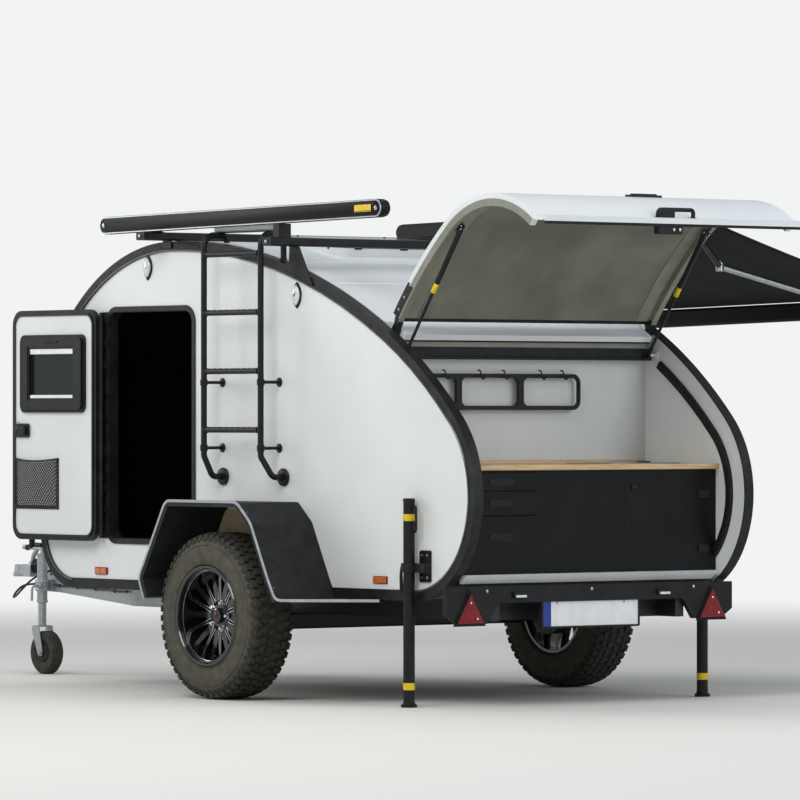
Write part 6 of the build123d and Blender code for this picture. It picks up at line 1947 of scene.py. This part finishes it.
class TRAILER_OT_legs(bpy.types.Operator):
    """Fittings of the rear legs and their clamps"""
    bl_idname = "trailer.legs"
    bl_label = "Drop legs"

    def execute(self, context):
        make_legs()
        return {"FINISHED"}


class TRAILER_OT_drawbar(bpy.types.Operator):
    """Fittings of coupling, jockey wheel and drawbar"""
    bl_idname = "trailer.drawbar"
    bl_label = "Drawbar"

    def execute(self, context):
        coupling_fittings()
        jockey_fittings()
        drawbar_fittings()
        jockey_hub()
        return {"FINISHED"}


class TRAILER_OT_trim(bpy.types.Operator):
    """Edge trim of the walls, its bead grey as a painted highlight, and the cabin's lining of painted shade
    """
    bl_idname = "trailer.trim"
    bl_label = "Trim and lining"

    def execute(self, context):
        make_trim()
        return {"FINISHED"}


class TRAILER_OT_stage(bpy.types.Operator):
    """Floor, backdrop, lights and the camera"""
    bl_idname = "trailer.stage"
    bl_label = "Stage"

    def execute(self, context):
        studio_floor()
        studio_world()
        studio_lights()
        photo_camera()
        return {"FINISHED"}


# In the order in which main calls them
OPERATORS = (
    TRAILER_OT_finishes, TRAILER_OT_lead, TRAILER_OT_canopy, TRAILER_OT_arms,
    TRAILER_OT_cases, TRAILER_OT_mattress, TRAILER_OT_pocket, TRAILER_OT_tyres,
    TRAILER_OT_rims, TRAILER_OT_mudguards, TRAILER_OT_lamps, TRAILER_OT_doors,
    TRAILER_OT_gate, TRAILER_OT_galley, TRAILER_OT_roof, TRAILER_OT_struts,
    TRAILER_OT_legs, TRAILER_OT_drawbar, TRAILER_OT_trim, TRAILER_OT_stage,
)


class TRAILER_PT_panel(bpy.types.Panel):
    """Sizes, colours and the steps that dress the trailer, in order"""
    bl_label = "Teardrop trailer"
    bl_space_type = "VIEW_3D"
    bl_region_type = "UI"
    bl_category = "Trailer"

    def draw(self, context):
        for name in ("lugs", "sag", "blade", "studio"):
            self.layout.prop(context.scene.trailer_sizes, name)
        for name in ("floor", "backdrop"):
            self.layout.prop(context.scene.trailer_colours, name)
        for row in OPERATORS:
            self.layout.operator(row.bl_idname)


CLASSES = (TrailerSizes, TrailerColours, *OPERATORS, TRAILER_PT_panel)


def register():
    for item in CLASSES:
        bpy.utils.register_class(item)
    bpy.types.Scene.trailer_sizes = bpy.props.PointerProperty(type=TrailerSizes)
    bpy.types.Scene.trailer_colours = bpy.props.PointerProperty(type=TrailerColours)


def unregister():
    del bpy.types.Scene.trailer_colours
    del bpy.types.Scene.trailer_sizes
    for item in reversed(CLASSES):
        bpy.utils.unregister_class(item)


def main():
    """Dress the trailer step by step."""
    register()
    bpy.ops.trailer.finishes()
    bpy.ops.trailer.lead()
    bpy.ops.trailer.canopy()
    bpy.ops.trailer.arms()
    bpy.ops.trailer.cases()
    bpy.ops.trailer.mattress()
    bpy.ops.trailer.pocket()
    bpy.ops.trailer.tyres()
    bpy.ops.trailer.rims()
    bpy.ops.trailer.mudguards()
    bpy.ops.trailer.lamps()
    bpy.ops.trailer.doors()
    bpy.ops.trailer.gate()
    bpy.ops.trailer.galley()
    bpy.ops.trailer.roof()
    bpy.ops.trailer.struts()
    bpy.ops.trailer.legs()
    bpy.ops.trailer.drawbar()
    bpy.ops.trailer.trim()
    bpy.ops.trailer.stage()


if __name__ == "__main__":
    main()
